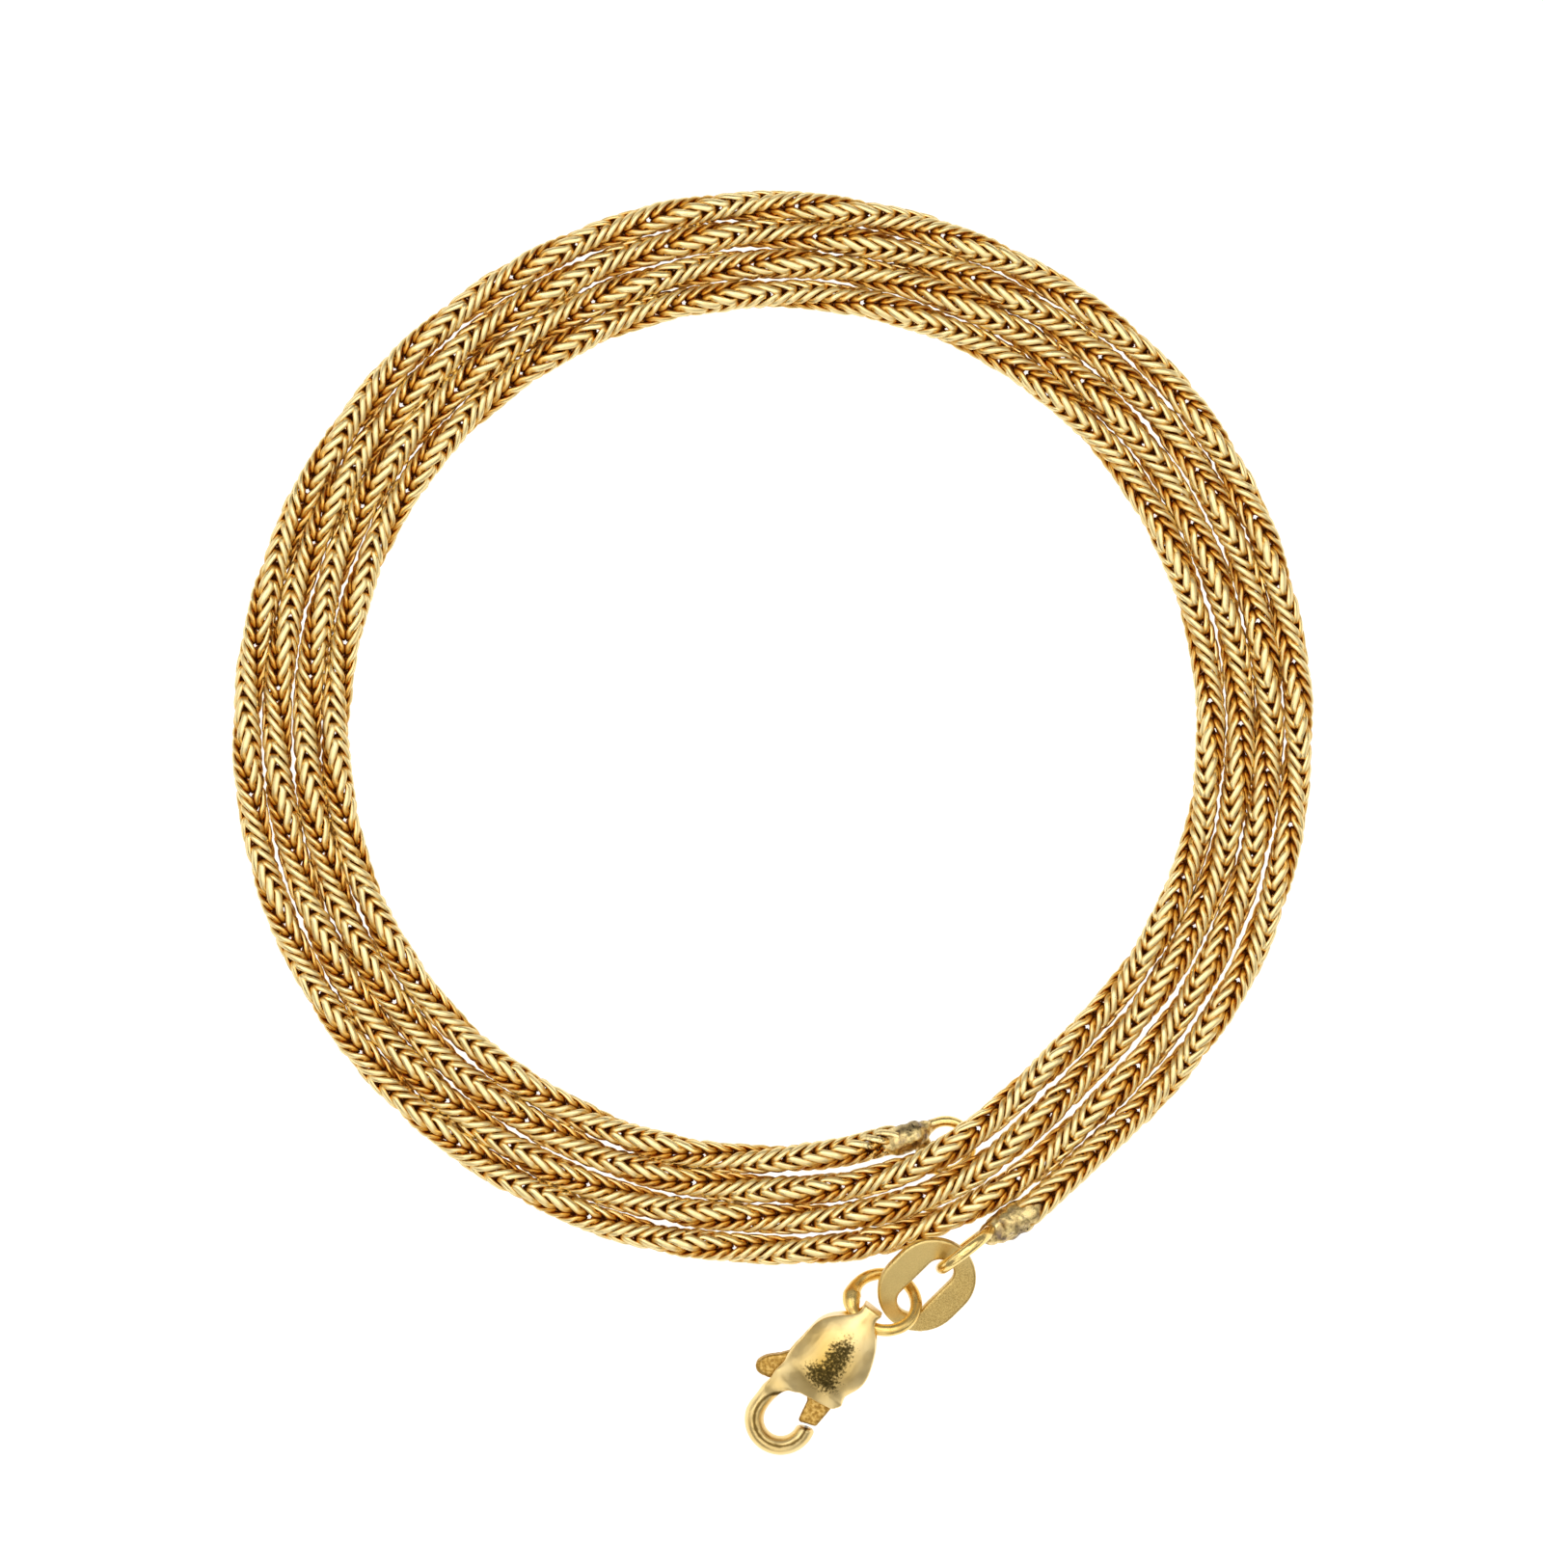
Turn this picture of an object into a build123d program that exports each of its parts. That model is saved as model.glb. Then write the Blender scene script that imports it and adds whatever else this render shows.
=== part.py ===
from build123d import *
import os
from math import cos, pi, radians, sin, tan

# Fine wheat chain necklace with a lobster clasp, unfastened and coiled flat in four turns.
# Millimetres. +Z is up from the floor that the necklace lies on, +X is to the right seen from above.
# Headings in plan are degrees counter-clockwise from +X. Bearings along the coil are degrees clockwise
# from +X, because the chain winds clockwise from its inner end to its outer end.

# Chain
CHAIN_DIAMETER = 1.32
TURN_GAP = 0.15
COIL_INNER_RADIUS = 21.7
TURNS = 4
START_BEARING = 74.2
START_RADIUS_SHARE = 0.986
END_BEARING = 62.0
TURN_WOBBLE = 0.02
WOBBLE_WAVES = 5
WOBBLE_PHASE = 100.0
ARC_SHARE = 0.45
END_PLAY = 0.03

# One turn of the coil, from its lower side round to where the chain steps out to the next turn.
# radius is a share of COIL_INNER_RADIUS, pitch a share of the turn pitch, step a share of one pitch.
# lift is a share of the height at which the first turn crosses the inner ring.
TURN_TABLE = (
    # bearing, radius, pitch, step, lift
    (86.0, 0.996, 1.020, 0.00, 0.00),
    (104.0, 0.997, 1.010, 0.00, 0.00),
    (122.0, 1.002, 0.985, 0.00, 0.00),
    (140.0, 1.011, 0.983, 0.00, 0.00),
    (158.0, 1.010, 1.010, 0.00, 0.00),
    (176.0, 1.011, 0.997, 0.00, 0.00),
    (194.0, 1.008, 0.986, 0.00, 0.00),
    (212.0, 1.008, 0.965, 0.00, 0.00),
    (230.0, 0.999, 0.983, 0.00, 0.00),
    (248.0, 0.998, 0.980, 0.00, 0.00),
    (266.0, 0.998, 1.000, 0.00, 0.00),
    (284.0, 0.995, 0.980, 0.00, 0.00),
    (302.0, 0.996, 0.986, 0.00, 0.00),
    (320.0, 0.997, 1.020, 0.00, 0.00),
    (338.0, 1.000, 0.997, 0.00, 0.00),
    (356.0, 1.001, 0.997, 0.00, 0.00),
    (373.0, 0.999, 1.010, 0.00, 0.00),
    (387.0, 0.996, 1.050, 0.00, 0.00),
    (398.0, 0.994, 1.060, 0.00, 0.00),
    (406.5, 0.995, 1.065, 0.00, 0.00),
    (414.5, 0.996, 1.065, 0.13, 0.45),
    (422.0, 0.996, 1.090, 0.47, 1.00),
    (429.5, 0.996, 1.040, 0.82, 1.00),
    (437.0, 0.996, 1.030, 0.97, 0.80),
)
# How much of the full lift each turn takes where it passes the inner ring, and the last turn its end.
TURN_LIFTS = (1.0, 0.80, 0.0, 0.62)
CROSSING_GAP = 0.08

# Soldered ends: a rough cap on the chain and a wire ring in it
CAP_DIAMETER = 1.46
CAP_ROUNDING = 0.45
INNER_CAP_LENGTH = 1.60
INNER_RING_DIAMETER = 3.06
INNER_RING_WIRE = 0.55
INNER_RING_HEADING = -7.0
OUTER_CAP_LENGTH = 2.55
OUTER_RING_DIAMETER = 3.60
OUTER_RING_WIRE = 0.62
OUTER_RING_HEADING = 211.2
OUTER_RING_PLANE_HEADING = 217.9
RING_BITE = 0.15

# Flat oval link, its near end raised on the outer ring and its far side raised on the jump ring
OVAL_LENGTH = 5.20
OVAL_WIDTH = 4.30
OVAL_THICKNESS = 0.50
OVAL_EDGE = 0.07
SLOT_LENGTH = 3.45
SLOT_WIDTH = 1.42
SLOT_SHIFT = 0.10
OVAL_HEADING = 45.0
OVAL_END_SLOPE = 12.1
OVAL_SIDE_SLOPE = 16.3
OVAL_CENTRE_HEADING = 221.8
RING_TO_SLOT = 0.94

# Round jump ring, leaning, with a lump of solder at its joint
JUMP_DIAMETER = 3.85
JUMP_WIRE = 0.60
JUMP_LEAN = 33.9
JUMP_HIGH_HEADING = -102.4
JUMP_CENTRE_HEADING = 202.6
SLOT_TO_JUMP = 0.486
SOLDER_DIAMETER = 0.95
SOLDER_HEADING = 172.0

# Lobster clasp, in its own frame: u runs from the tail to the hook, v towards the gate side
CLASP_HEADING = 231.7
CLASP_TILT = 4.7
CLASP_WIDTH = 3.80
CLASP_THICKNESS = 3.20
CLASP_FLOOR_GAP = 0.03
DOME_LENGTH = 4.70
BROW_LENGTH = 1.75
TAIL_HEADING = 222.2
TAIL_REACH_SHARE = 0.783
TAIL_HOLE_CENTRE = 0.72
TAIL_HOLE_LENGTH = 1.00
TAIL_HOLE_HEIGHT = 1.54
TAIL_HOLE_CORNER = 0.38
# Cross-sections of the dome. station is a share of DOME_LENGTH, middle and half_width of half the
# clasp's width, side and top of half its thickness.
DOME_SECTIONS = (
    # station, middle, half_width, side, top
    (0.000, 0.00, 0.295, 0.60, 0.68),
    (0.150, 0.00, 0.345, 0.60, 0.70),
    (0.266, -0.02, 0.620, 0.59, 0.77),
    (0.372, -0.05, 0.815, 0.56, 0.86),
    (0.532, -0.03, 0.965, 0.54, 0.96),
    (0.766, -0.03, 1.000, 0.52, 1.00),
    (1.000, -0.05, 0.980, 0.50, 0.93),
)
WIDEST_STATION = 0.766
# The brow, which slopes from the crease down to the eye and the hook's arm. station is a share of
# BROW_LENGTH from the crease, and the first section is the dome's last.
BROW_SECTIONS = (
    # station, middle, half_width, side, top
    (0.50, -0.09, 0.980, 0.49, 0.62),
    (1.00, -0.09, 0.980, 0.44, 0.52),
)
# Edge of the brow along the eye, from the gate side to the hook's arm. station is a share of
# BROW_LENGTH from the crease and side a share of half the clasp's width.
BROW_EDGE = (
    # station, side
    (-0.12, 1.05),
    (0.03, 0.92),
    (0.26, 0.77),
    (0.37, 0.25),
    (0.44, -0.13),
    (0.63, -0.45),
    (1.00, -0.545),
)

# Hook: an oval wire that runs on from the brow and bends round the eye
HOOK_WIDTH = 0.95
HOOK_THICKNESS = 1.30
HOOK_OVERHANG = 0.11
HOOK_ROOT_LENGTH = 0.60
EYE_LENGTH = 2.55
HOOK_BEND_RADIUS = 1.32
HOOK_BEND_END = 112.0
HOOK_TIP_ROUNDING = 0.20

# Trigger: a flat lever on the rivet, with a thumb tab on one arm and the gate on the other
TRIGGER_SLOT_HEIGHT = 1.10
TRIGGER_PLAY = 0.07
TRIGGER_CORNER = 0.13
TRIGGER_ROUNDING = 0.10
SLOT_END_LENGTH = 1.45
RIVET_FROM_CREASE = 0.50
RIVET_FROM_EDGE = 1.05
RIVET_DIAMETER = 0.60
RIVET_CLEARANCE = 0.02
PIVOT_CLEARANCE = 0.05
BOSS_DIAMETER = 1.10
SWEEP_CLEARANCE = 0.09
GATE_WIDTH = 0.95
GATE_GAP = 0.20
GATE_LENGTH = 1.10
GATE_TAPER = 0.25
THUMB_TAB_REACH = 3.72
OPEN_ANGLE = 28.0
# Outline of the lever round the rivet and out along the thumb tab and back, as shares of
# THUMB_TAB_REACH from the rivet. The tab's far end is the lowest row.
THUMB_ARM = (
    # along, across
    (-0.080, 0.150),
    (-0.150, 0.070),
    (-0.150, -0.110),
    (-0.129, -0.430),
    (-0.011, -0.750),
    (0.124, -0.844),
    (0.260, -0.985),
    (0.382, -1.040),
    (0.490, -0.985),
    (0.515, -0.890),
    (0.473, -0.769),
    (0.309, -0.511),
    (0.247, -0.296),
)

TURN_PITCH = CHAIN_DIAMETER + TURN_GAP
CHAIN_RADIUS = CHAIN_DIAMETER / 2
CAP_RADIUS = CAP_DIAMETER / 2


def in_plan(heading, reach=1.0, height=0.0):
    """A vector along a heading in plan, with a height."""
    return Vector(reach * cos(radians(heading)), reach * sin(radians(heading)), height)


def on_coil(bearing, radius, height):
    """A point by its bearing clockwise round the coil's centre."""
    return in_plan(-bearing, radius, height)


def coil_corners():
    """Corners of the chain's centre line, turn by turn from the inner end to the outer end."""
    bearings = [row[0] for row in TURN_TABLE]
    before = [bearings[-1] - 360] + bearings[:-1]
    after = bearings[1:] + [bearings[0] + 360]
    full_lift = INNER_RING_WIRE + CROSSING_GAP
    corners = [on_coil(START_BEARING, COIL_INNER_RADIUS * START_RADIUS_SHARE, CAP_RADIUS)]
    for turn in range(TURNS):
        for row, last, following in zip(TURN_TABLE, before, after):
            bearing, radius_share, pitch_share, step, lift = row
            if turn == TURNS - 1 and bearing > 360 + END_BEARING:
                break
            wobble = TURN_WOBBLE * sin(radians(WOBBLE_WAVES * bearing + WOBBLE_PHASE * turn))
            radius = COIL_INNER_RADIUS * radius_share + TURN_PITCH * pitch_share * (turn + step) + wobble
            # A corner stands outside the curve that its two runs touch at their middles.
            corner_radius = radius / cos(radians((following - last) / 4))
            height = CHAIN_RADIUS + full_lift * lift * TURN_LIFTS[turn]
            corners.append(on_coil(bearing, corner_radius, height))
    return corners


def corner_radii(corners):
    """Arc radius at each corner, as large as its two runs allow."""
    radii = []
    for first, corner, last in zip(corners, corners[1:], corners[2:]):
        turn = (corner - first).get_angle(last - corner)
        shorter = min((corner - first).length, (last - corner).length)
        radii.append(ARC_SHARE * shorter / tan(radians(turn) / 2))
    return radii


# Centre line of the chain, with the coil's centre still at the origin
coil_route = coil_corners()
arc_radii = corner_radii(coil_route)
with BuildLine() as coil_line:
    FilletPolyline(*coil_route, radius=arc_radii)
coil_reach = coil_line.line.bounding_box()

# Places of the findings, each worked out from the piece that it hangs on
start_direction = (coil_route[0] - coil_route[1]).normalized()
end_direction = (coil_route[-1] - coil_route[-2]).normalized()

inner_ring_middle = (INNER_RING_DIAMETER - INNER_RING_WIRE) / 2
inner_ring_reach = INNER_CAP_LENGTH + inner_ring_middle - RING_BITE
inner_ring_centre = coil_route[0] + in_plan(INNER_RING_HEADING, inner_ring_reach)
inner_ring_centre.Z = INNER_RING_WIRE / 2

outer_ring_middle = (OUTER_RING_DIAMETER - OUTER_RING_WIRE) / 2
outer_ring_reach = OUTER_CAP_LENGTH + outer_ring_middle - RING_BITE
outer_ring_centre = coil_route[-1] + in_plan(OUTER_RING_HEADING, outer_ring_reach)
outer_ring_centre.Z = OUTER_RING_DIAMETER / 2

oval_reach = SLOT_LENGTH / 2 - SLOT_SHIFT + RING_TO_SLOT
oval_centre = outer_ring_centre + in_plan(OVAL_CENTRE_HEADING, oval_reach)
end_rise = tan(radians(OVAL_END_SLOPE))
side_rise = tan(radians(OVAL_SIDE_SLOPE))
# The oval's lowest edge rests on the floor: its two slopes drop it by its half length and half width.
oval_drop = Vector(OVAL_LENGTH / 2 * end_rise, OVAL_WIDTH / 2 * side_rise).length
oval_centre.Z = oval_drop + OVAL_THICKNESS / 2

jump_middle = (JUMP_DIAMETER - JUMP_WIRE) / 2
jump_reach = SLOT_LENGTH / 2 + SLOT_SHIFT + SLOT_TO_JUMP
jump_centre = oval_centre + in_plan(JUMP_CENTRE_HEADING, jump_reach)
jump_centre.Z = JUMP_WIRE / 2 + jump_middle * sin(radians(JUMP_LEAN))

tail_hole = jump_centre + in_plan(TAIL_HEADING, jump_middle * TAIL_REACH_SHARE)
clasp_origin = tail_hole - in_plan(CLASP_HEADING, TAIL_HOLE_CENTRE)
half_width = CLASP_WIDTH / 2
half_thickness = CLASP_THICKNESS / 2
clasp_origin.Z = (
    half_thickness * cos(radians(CLASP_TILT))
    + DOME_LENGTH * WIDEST_STATION * sin(radians(CLASP_TILT))
    + CLASP_FLOOR_GAP
)

# The origin is under the middle of the whole necklace's box.
bend_station = DOME_LENGTH + EYE_LENGTH
arm_side = HOOK_WIDTH / 2 - half_width - HOOK_OVERHANG
bend_side = arm_side + HOOK_BEND_RADIUS
bend_centre = clasp_origin + in_plan(CLASP_HEADING, bend_station)
bend_centre += in_plan(CLASP_HEADING + 90, bend_side)
lowest_reach = bend_centre.Y - HOOK_BEND_RADIUS - HOOK_WIDTH / 2
highest_reach = coil_reach.max.Y + CHAIN_RADIUS
coil_centre = Vector(
    -(coil_reach.min.X + coil_reach.max.X) / 2,
    -(lowest_reach + highest_reach) / 2,
)
chain_path = coil_line.line.moved(Location(coil_centre))

start_plane = Plane(
    origin=coil_route[0] + coil_centre + start_direction * END_PLAY, z_dir=start_direction
)
end_plane = Plane(origin=coil_route[-1] + coil_centre + end_direction * END_PLAY, z_dir=end_direction)
inner_ring_plane = Plane(origin=inner_ring_centre + coil_centre)
outer_ring_plane = Plane(
    origin=outer_ring_centre + coil_centre,
    x_dir=in_plan(OUTER_RING_PLANE_HEADING),
    z_dir=in_plan(OUTER_RING_PLANE_HEADING + 90),
)
along_oval = in_plan(OVAL_HEADING)
across_oval = in_plan(OVAL_HEADING + 90)
oval_plane = Plane(
    origin=oval_centre + coil_centre,
    x_dir=along_oval + Vector(0, 0, end_rise),
    z_dir=Vector(0, 0, 1) - along_oval * end_rise - across_oval * side_rise,
)
lean = radians(JUMP_LEAN)
jump_plane = Plane(
    origin=jump_centre + coil_centre,
    x_dir=in_plan(JUMP_HIGH_HEADING, cos(lean), sin(lean)),
    z_dir=in_plan(JUMP_HIGH_HEADING, -sin(lean), cos(lean)),
)
tilt = radians(CLASP_TILT)
clasp_plane = Plane(
    origin=clasp_origin + coil_centre,
    x_dir=in_plan(CLASP_HEADING, cos(tilt), -sin(tilt)),
    z_dir=in_plan(CLASP_HEADING, sin(tilt), cos(tilt)),
)


def section_plane(station):
    """A cross-section of the clasp: its x runs towards the gate side and its y up."""
    return Plane(
        origin=clasp_plane.from_local_coords(Vector(station, 0, 0)),
        x_dir=clasp_plane.y_dir,
        z_dir=clasp_plane.x_dir,
    )


def dome_section(station, middle, width, side, top):
    """One closed cross-section of the clasp with upright sides and an arched top and bottom."""
    left = (middle - width) * half_width
    right = (middle + width) * half_width
    crown = middle * half_width
    side_height = side * half_thickness
    top_height = top * half_thickness
    with BuildSketch(section_plane(station)) as section:
        with BuildLine():
            Line((left, -side_height), (left, side_height))
            ThreePointArc((left, side_height), (crown, top_height), (right, side_height))
            Line((right, side_height), (right, -side_height))
            ThreePointArc((right, -side_height), (crown, -top_height), (left, -side_height))
        make_face()
    return section.sketch


dome_faces = [dome_section(DOME_LENGTH * row[0], *row[1:]) for row in DOME_SECTIONS]
brow_faces = [dome_section(DOME_LENGTH + BROW_LENGTH * row[0], *row[1:]) for row in BROW_SECTIONS]

# The woven chain, as one tube of its outer diameter
with BuildPart() as chain:
    with BuildSketch(Plane(origin=chain_path @ 0, z_dir=chain_path % 0)):
        Circle(CHAIN_RADIUS)
    sweep(path=chain_path)
chain.part.label = "chain"

# The inner end's cap, and the ring soldered into it, which lies flat under the first turn
with BuildPart() as inner_end_ring:
    with BuildSketch(start_plane):
        Circle(CAP_RADIUS)
    extrude(amount=INNER_CAP_LENGTH)
    cap_end = inner_end_ring.faces().sort_by(Axis(start_plane.origin, start_direction))[-1]
    fillet(cap_end.edges(), CAP_ROUNDING)
    with Locations(inner_ring_plane):
        Torus(inner_ring_middle, INNER_RING_WIRE / 2)
inner_end_ring.part.label = "inner_end_ring"

# The outer end's cap, and its ring, which stands on edge
with BuildPart() as outer_end_ring:
    with BuildSketch(end_plane):
        Circle(CAP_RADIUS)
    extrude(amount=OUTER_CAP_LENGTH)
    cap_end = outer_end_ring.faces().sort_by(Axis(end_plane.origin, end_direction))[-1]
    fillet(cap_end.edges(), CAP_ROUNDING)
    with Locations(outer_ring_plane):
        Torus(outer_ring_middle, OUTER_RING_WIRE / 2)
outer_end_ring.part.label = "outer_end_ring"

# The flat oval link with its long slot
with BuildPart() as oval_link:
    with BuildSketch(oval_plane):
        SlotOverall(OVAL_LENGTH, OVAL_WIDTH)
        with Locations((-SLOT_SHIFT, 0)):
            SlotOverall(SLOT_LENGTH, SLOT_WIDTH, mode=Mode.SUBTRACT)
    extrude(amount=OVAL_THICKNESS / 2, both=True)
    oval_faces = oval_link.faces().sort_by(Axis(oval_plane.origin, oval_plane.z_dir))
    chamfer(oval_faces[0].edges() + oval_faces[-1].edges(), OVAL_EDGE)
oval_link.part.label = "oval_link"

# The jump ring, with the solder lump on its joint
with BuildPart() as jump_ring:
    with Locations(jump_plane):
        Torus(jump_middle, JUMP_WIRE / 2)
        with PolarLocations(jump_middle, 1, SOLDER_HEADING - JUMP_HIGH_HEADING):
            Sphere(SOLDER_DIAMETER / 2)
jump_ring.part.label = "jump_ring"

# Points of the clasp in its own plane
pivot = Vector(DOME_LENGTH - RIVET_FROM_CREASE, half_width - RIVET_FROM_EDGE)
bend = Vector(bend_station, bend_side)
across_tip = in_plan(HOOK_BEND_END)
hook_tip = bend + across_tip * HOOK_BEND_RADIUS
gate_end = hook_tip + in_plan(HOOK_BEND_END + 90, GATE_GAP)
gate_inner = gate_end - across_tip * (GATE_WIDTH / 2)
gate_outer = gate_end + across_tip * (GATE_WIDTH / 2)
boss_radius = BOSS_DIAMETER / 2
rivet_radius = RIVET_DIAMETER / 2
slot_end = DOME_LENGTH + SLOT_END_LENGTH
tail_plane = Plane(
    origin=clasp_plane.from_local_coords(Vector(TAIL_HOLE_CENTRE, 0)),
    x_dir=clasp_plane.x_dir,
    z_dir=-clasp_plane.y_dir,
)

# The lever's outline at rest, and the space that it sweeps in the slot between rest and fully open
with BuildSketch() as lever_outline:
    with BuildLine():
        Polyline(
            *[pivot + Vector(*row) * THUMB_TAB_REACH for row in THUMB_ARM],
            gate_inner - Vector(GATE_LENGTH, GATE_TAPER),
            gate_inner,
            gate_outer,
            pivot + Vector(GATE_LENGTH, boss_radius),
            close=True,
        )
    make_face()
    fillet(lever_outline.vertices(), TRIGGER_CORNER)
pivot_axis = Axis(pivot, (0, 0, -1))
with BuildSketch() as lever_sweep:
    for share in (0, 0.5, 1):
        add(lever_outline.sketch.rotate(pivot_axis, OPEN_ANGLE * share))
    make_hull()
    offset(amount=SWEEP_CLEARANCE)
    with Locations((slot_end, 0)):
        Rectangle(2 * DOME_LENGTH, 4 * CLASP_WIDTH, align=(Align.MAX, Align.CENTER), mode=Mode.INTERSECT)

# The uncut dome of the clasp, which the rivet's ends follow too
with BuildPart() as clasp_dome:
    loft(dome_faces)

# The clasp's body: dome, brow and hook, with the tail's eye, the lever's slot and the rivet's hole
with BuildPart() as clasp_body:
    add(clasp_dome.part)
    loft([dome_faces[-1], *brow_faces], ruled=True)
    with BuildSketch(clasp_plane):
        with BuildLine():
            Polyline(
                *[(DOME_LENGTH + station * BROW_LENGTH, side * half_width) for station, side in BROW_EDGE],
                (bend_station, BROW_EDGE[-1][1] * half_width),
                (bend_station, CLASP_WIDTH),
                (DOME_LENGTH, CLASP_WIDTH),
                close=True,
            )
        make_face()
    extrude(amount=CLASP_THICKNESS, both=True, mode=Mode.SUBTRACT)
    with BuildLine() as hook_line:
        Line((DOME_LENGTH + HOOK_ROOT_LENGTH, arm_side), (bend_station, arm_side))
        CenterArc(bend, HOOK_BEND_RADIUS, -90, HOOK_BEND_END + 90)
    with BuildSketch(section_plane(DOME_LENGTH + HOOK_ROOT_LENGTH)):
        with Locations((arm_side, 0)):
            Ellipse(HOOK_WIDTH / 2, HOOK_THICKNESS / 2)
    sweep(path=hook_line.line.moved(clasp_plane.location))
    tip_face = clasp_body.faces(Select.LAST).sort_by_distance(clasp_plane.from_local_coords(hook_tip))[0]
    fillet(tip_face.edges(), HOOK_TIP_ROUNDING)
    with BuildSketch(clasp_plane):
        add(lever_sweep.sketch)
    extrude(amount=TRIGGER_SLOT_HEIGHT / 2, both=True, mode=Mode.SUBTRACT)
    with BuildSketch(clasp_plane):
        with Locations(pivot):
            Circle(rivet_radius + RIVET_CLEARANCE)
    extrude(amount=CLASP_THICKNESS, both=True, mode=Mode.SUBTRACT)
    with BuildSketch(tail_plane):
        RectangleRounded(TAIL_HOLE_LENGTH, TAIL_HOLE_HEIGHT, TAIL_HOLE_CORNER)
    extrude(amount=CLASP_WIDTH, both=True, mode=Mode.SUBTRACT)
clasp_body.part.label = "clasp_body"

# The trigger, with its hole for the rivet
with BuildPart() as clasp_trigger:
    with BuildSketch(clasp_plane):
        add(lever_outline.sketch)
    extrude(amount=TRIGGER_SLOT_HEIGHT / 2 - TRIGGER_PLAY, both=True)
    trigger_faces = clasp_trigger.faces().sort_by(Axis(clasp_plane.origin, clasp_plane.z_dir))
    fillet(trigger_faces[0].edges() + trigger_faces[-1].edges(), TRIGGER_ROUNDING)
    with BuildSketch(clasp_plane):
        with Locations(pivot):
            Circle(rivet_radius + PIVOT_CLEARANCE)
    extrude(amount=CLASP_THICKNESS, both=True, mode=Mode.SUBTRACT)
clasp_trigger.part.label = "clasp_trigger"

# The rivet through both, its ends flush with the dome
with BuildPart() as clasp_rivet:
    with BuildSketch(clasp_plane):
        with Locations(pivot):
            Circle(rivet_radius)
    extrude(amount=CLASP_THICKNESS, both=True)
    add(clasp_dome.part, mode=Mode.INTERSECT)
clasp_rivet.part.label = "clasp_rivet"

chain_length = sum(edge.length for edge in chain_path.edges())
print("smallest arc radius", round(min(arc_radii), 2), "largest", round(max(arc_radii), 2))
print("chain length", round(chain_length, 1), "volume", round(chain.part.volume, 2))
print("section times length", round(pi * CHAIN_RADIUS**2 * chain_length, 2))
print("hinge position", clasp_plane.from_local_coords(pivot), "axis", -clasp_plane.z_dir)
print("coil centre", coil_centre)

os.makedirs("parts", exist_ok=True)
export_step(chain.part, "parts/chain.step")
export_step(inner_end_ring.part, "parts/inner_end_ring.step")
export_step(outer_end_ring.part, "parts/outer_end_ring.step")
export_step(oval_link.part, "parts/oval_link.step")
export_step(jump_ring.part, "parts/jump_ring.step")
export_step(clasp_body.part, "parts/clasp_body.step")
export_step(clasp_trigger.part, "parts/clasp_trigger.step")
export_step(clasp_rivet.part, "parts/clasp_rivet.step")
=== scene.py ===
# %% [markdown]
# A fine wheat chain necklace lies unfastened on a white sheet. Its chain is coiled flat in four turns,
# each end has a soldered cap with a wire ring, and an oval link and a jump ring lead to a lobster clasp.
# The shapes of the findings come from the CAD frame. This lesson adds the woven links and the metals.

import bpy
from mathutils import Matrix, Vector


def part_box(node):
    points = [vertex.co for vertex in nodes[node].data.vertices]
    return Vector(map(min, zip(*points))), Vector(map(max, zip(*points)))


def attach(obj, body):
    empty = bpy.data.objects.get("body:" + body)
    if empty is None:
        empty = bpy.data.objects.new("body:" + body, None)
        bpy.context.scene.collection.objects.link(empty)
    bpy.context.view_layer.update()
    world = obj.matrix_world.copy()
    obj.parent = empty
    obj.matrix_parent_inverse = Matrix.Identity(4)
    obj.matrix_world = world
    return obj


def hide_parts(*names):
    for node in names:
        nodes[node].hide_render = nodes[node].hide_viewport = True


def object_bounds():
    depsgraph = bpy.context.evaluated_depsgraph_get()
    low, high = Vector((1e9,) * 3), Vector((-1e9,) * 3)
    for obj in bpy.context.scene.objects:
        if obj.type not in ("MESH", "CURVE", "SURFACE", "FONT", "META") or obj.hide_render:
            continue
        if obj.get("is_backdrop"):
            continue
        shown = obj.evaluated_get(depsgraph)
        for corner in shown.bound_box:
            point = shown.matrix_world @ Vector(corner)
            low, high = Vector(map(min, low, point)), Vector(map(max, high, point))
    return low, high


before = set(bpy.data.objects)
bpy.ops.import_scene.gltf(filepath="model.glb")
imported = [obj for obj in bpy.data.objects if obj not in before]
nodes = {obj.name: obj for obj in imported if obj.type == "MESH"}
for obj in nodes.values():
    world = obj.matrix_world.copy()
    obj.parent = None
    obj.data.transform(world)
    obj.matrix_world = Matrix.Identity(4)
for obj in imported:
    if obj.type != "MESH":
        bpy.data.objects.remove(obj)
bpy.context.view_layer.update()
print("nodes:", sorted(nodes))

# %% [markdown]
# The photograph looks straight down on the necklace, and a long lens far above it does the same here.
# The camera comes first, so that every later choice can be looked at in the picture's own frame.

# %% Camera straight above
from math import cos, radians, sin

import bpy
import numpy as np

MM = 0.001
PICTURE_HEIGHT = 78.17 * MM
PICTURE_CENTRE = (-0.081 * MM, 1.949 * MM)
CAMERA_HEIGHT = 0.5
CHAIN_MIDDLE_HEIGHT = 0.8 * MM

camera_data = bpy.data.cameras.new("camera")
camera_data.sensor_width = 36
camera_data.lens = camera_data.sensor_width * CAMERA_HEIGHT / PICTURE_HEIGHT
camera_data.clip_start = 0.01
camera = bpy.data.objects.new("camera", camera_data)
camera.location = (*PICTURE_CENTRE, CAMERA_HEIGHT + CHAIN_MIDDLE_HEIGHT)
bpy.context.scene.collection.objects.link(camera)
bpy.context.scene.camera = camera
print("lens, mm:", round(camera_data.lens, 1))

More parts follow.
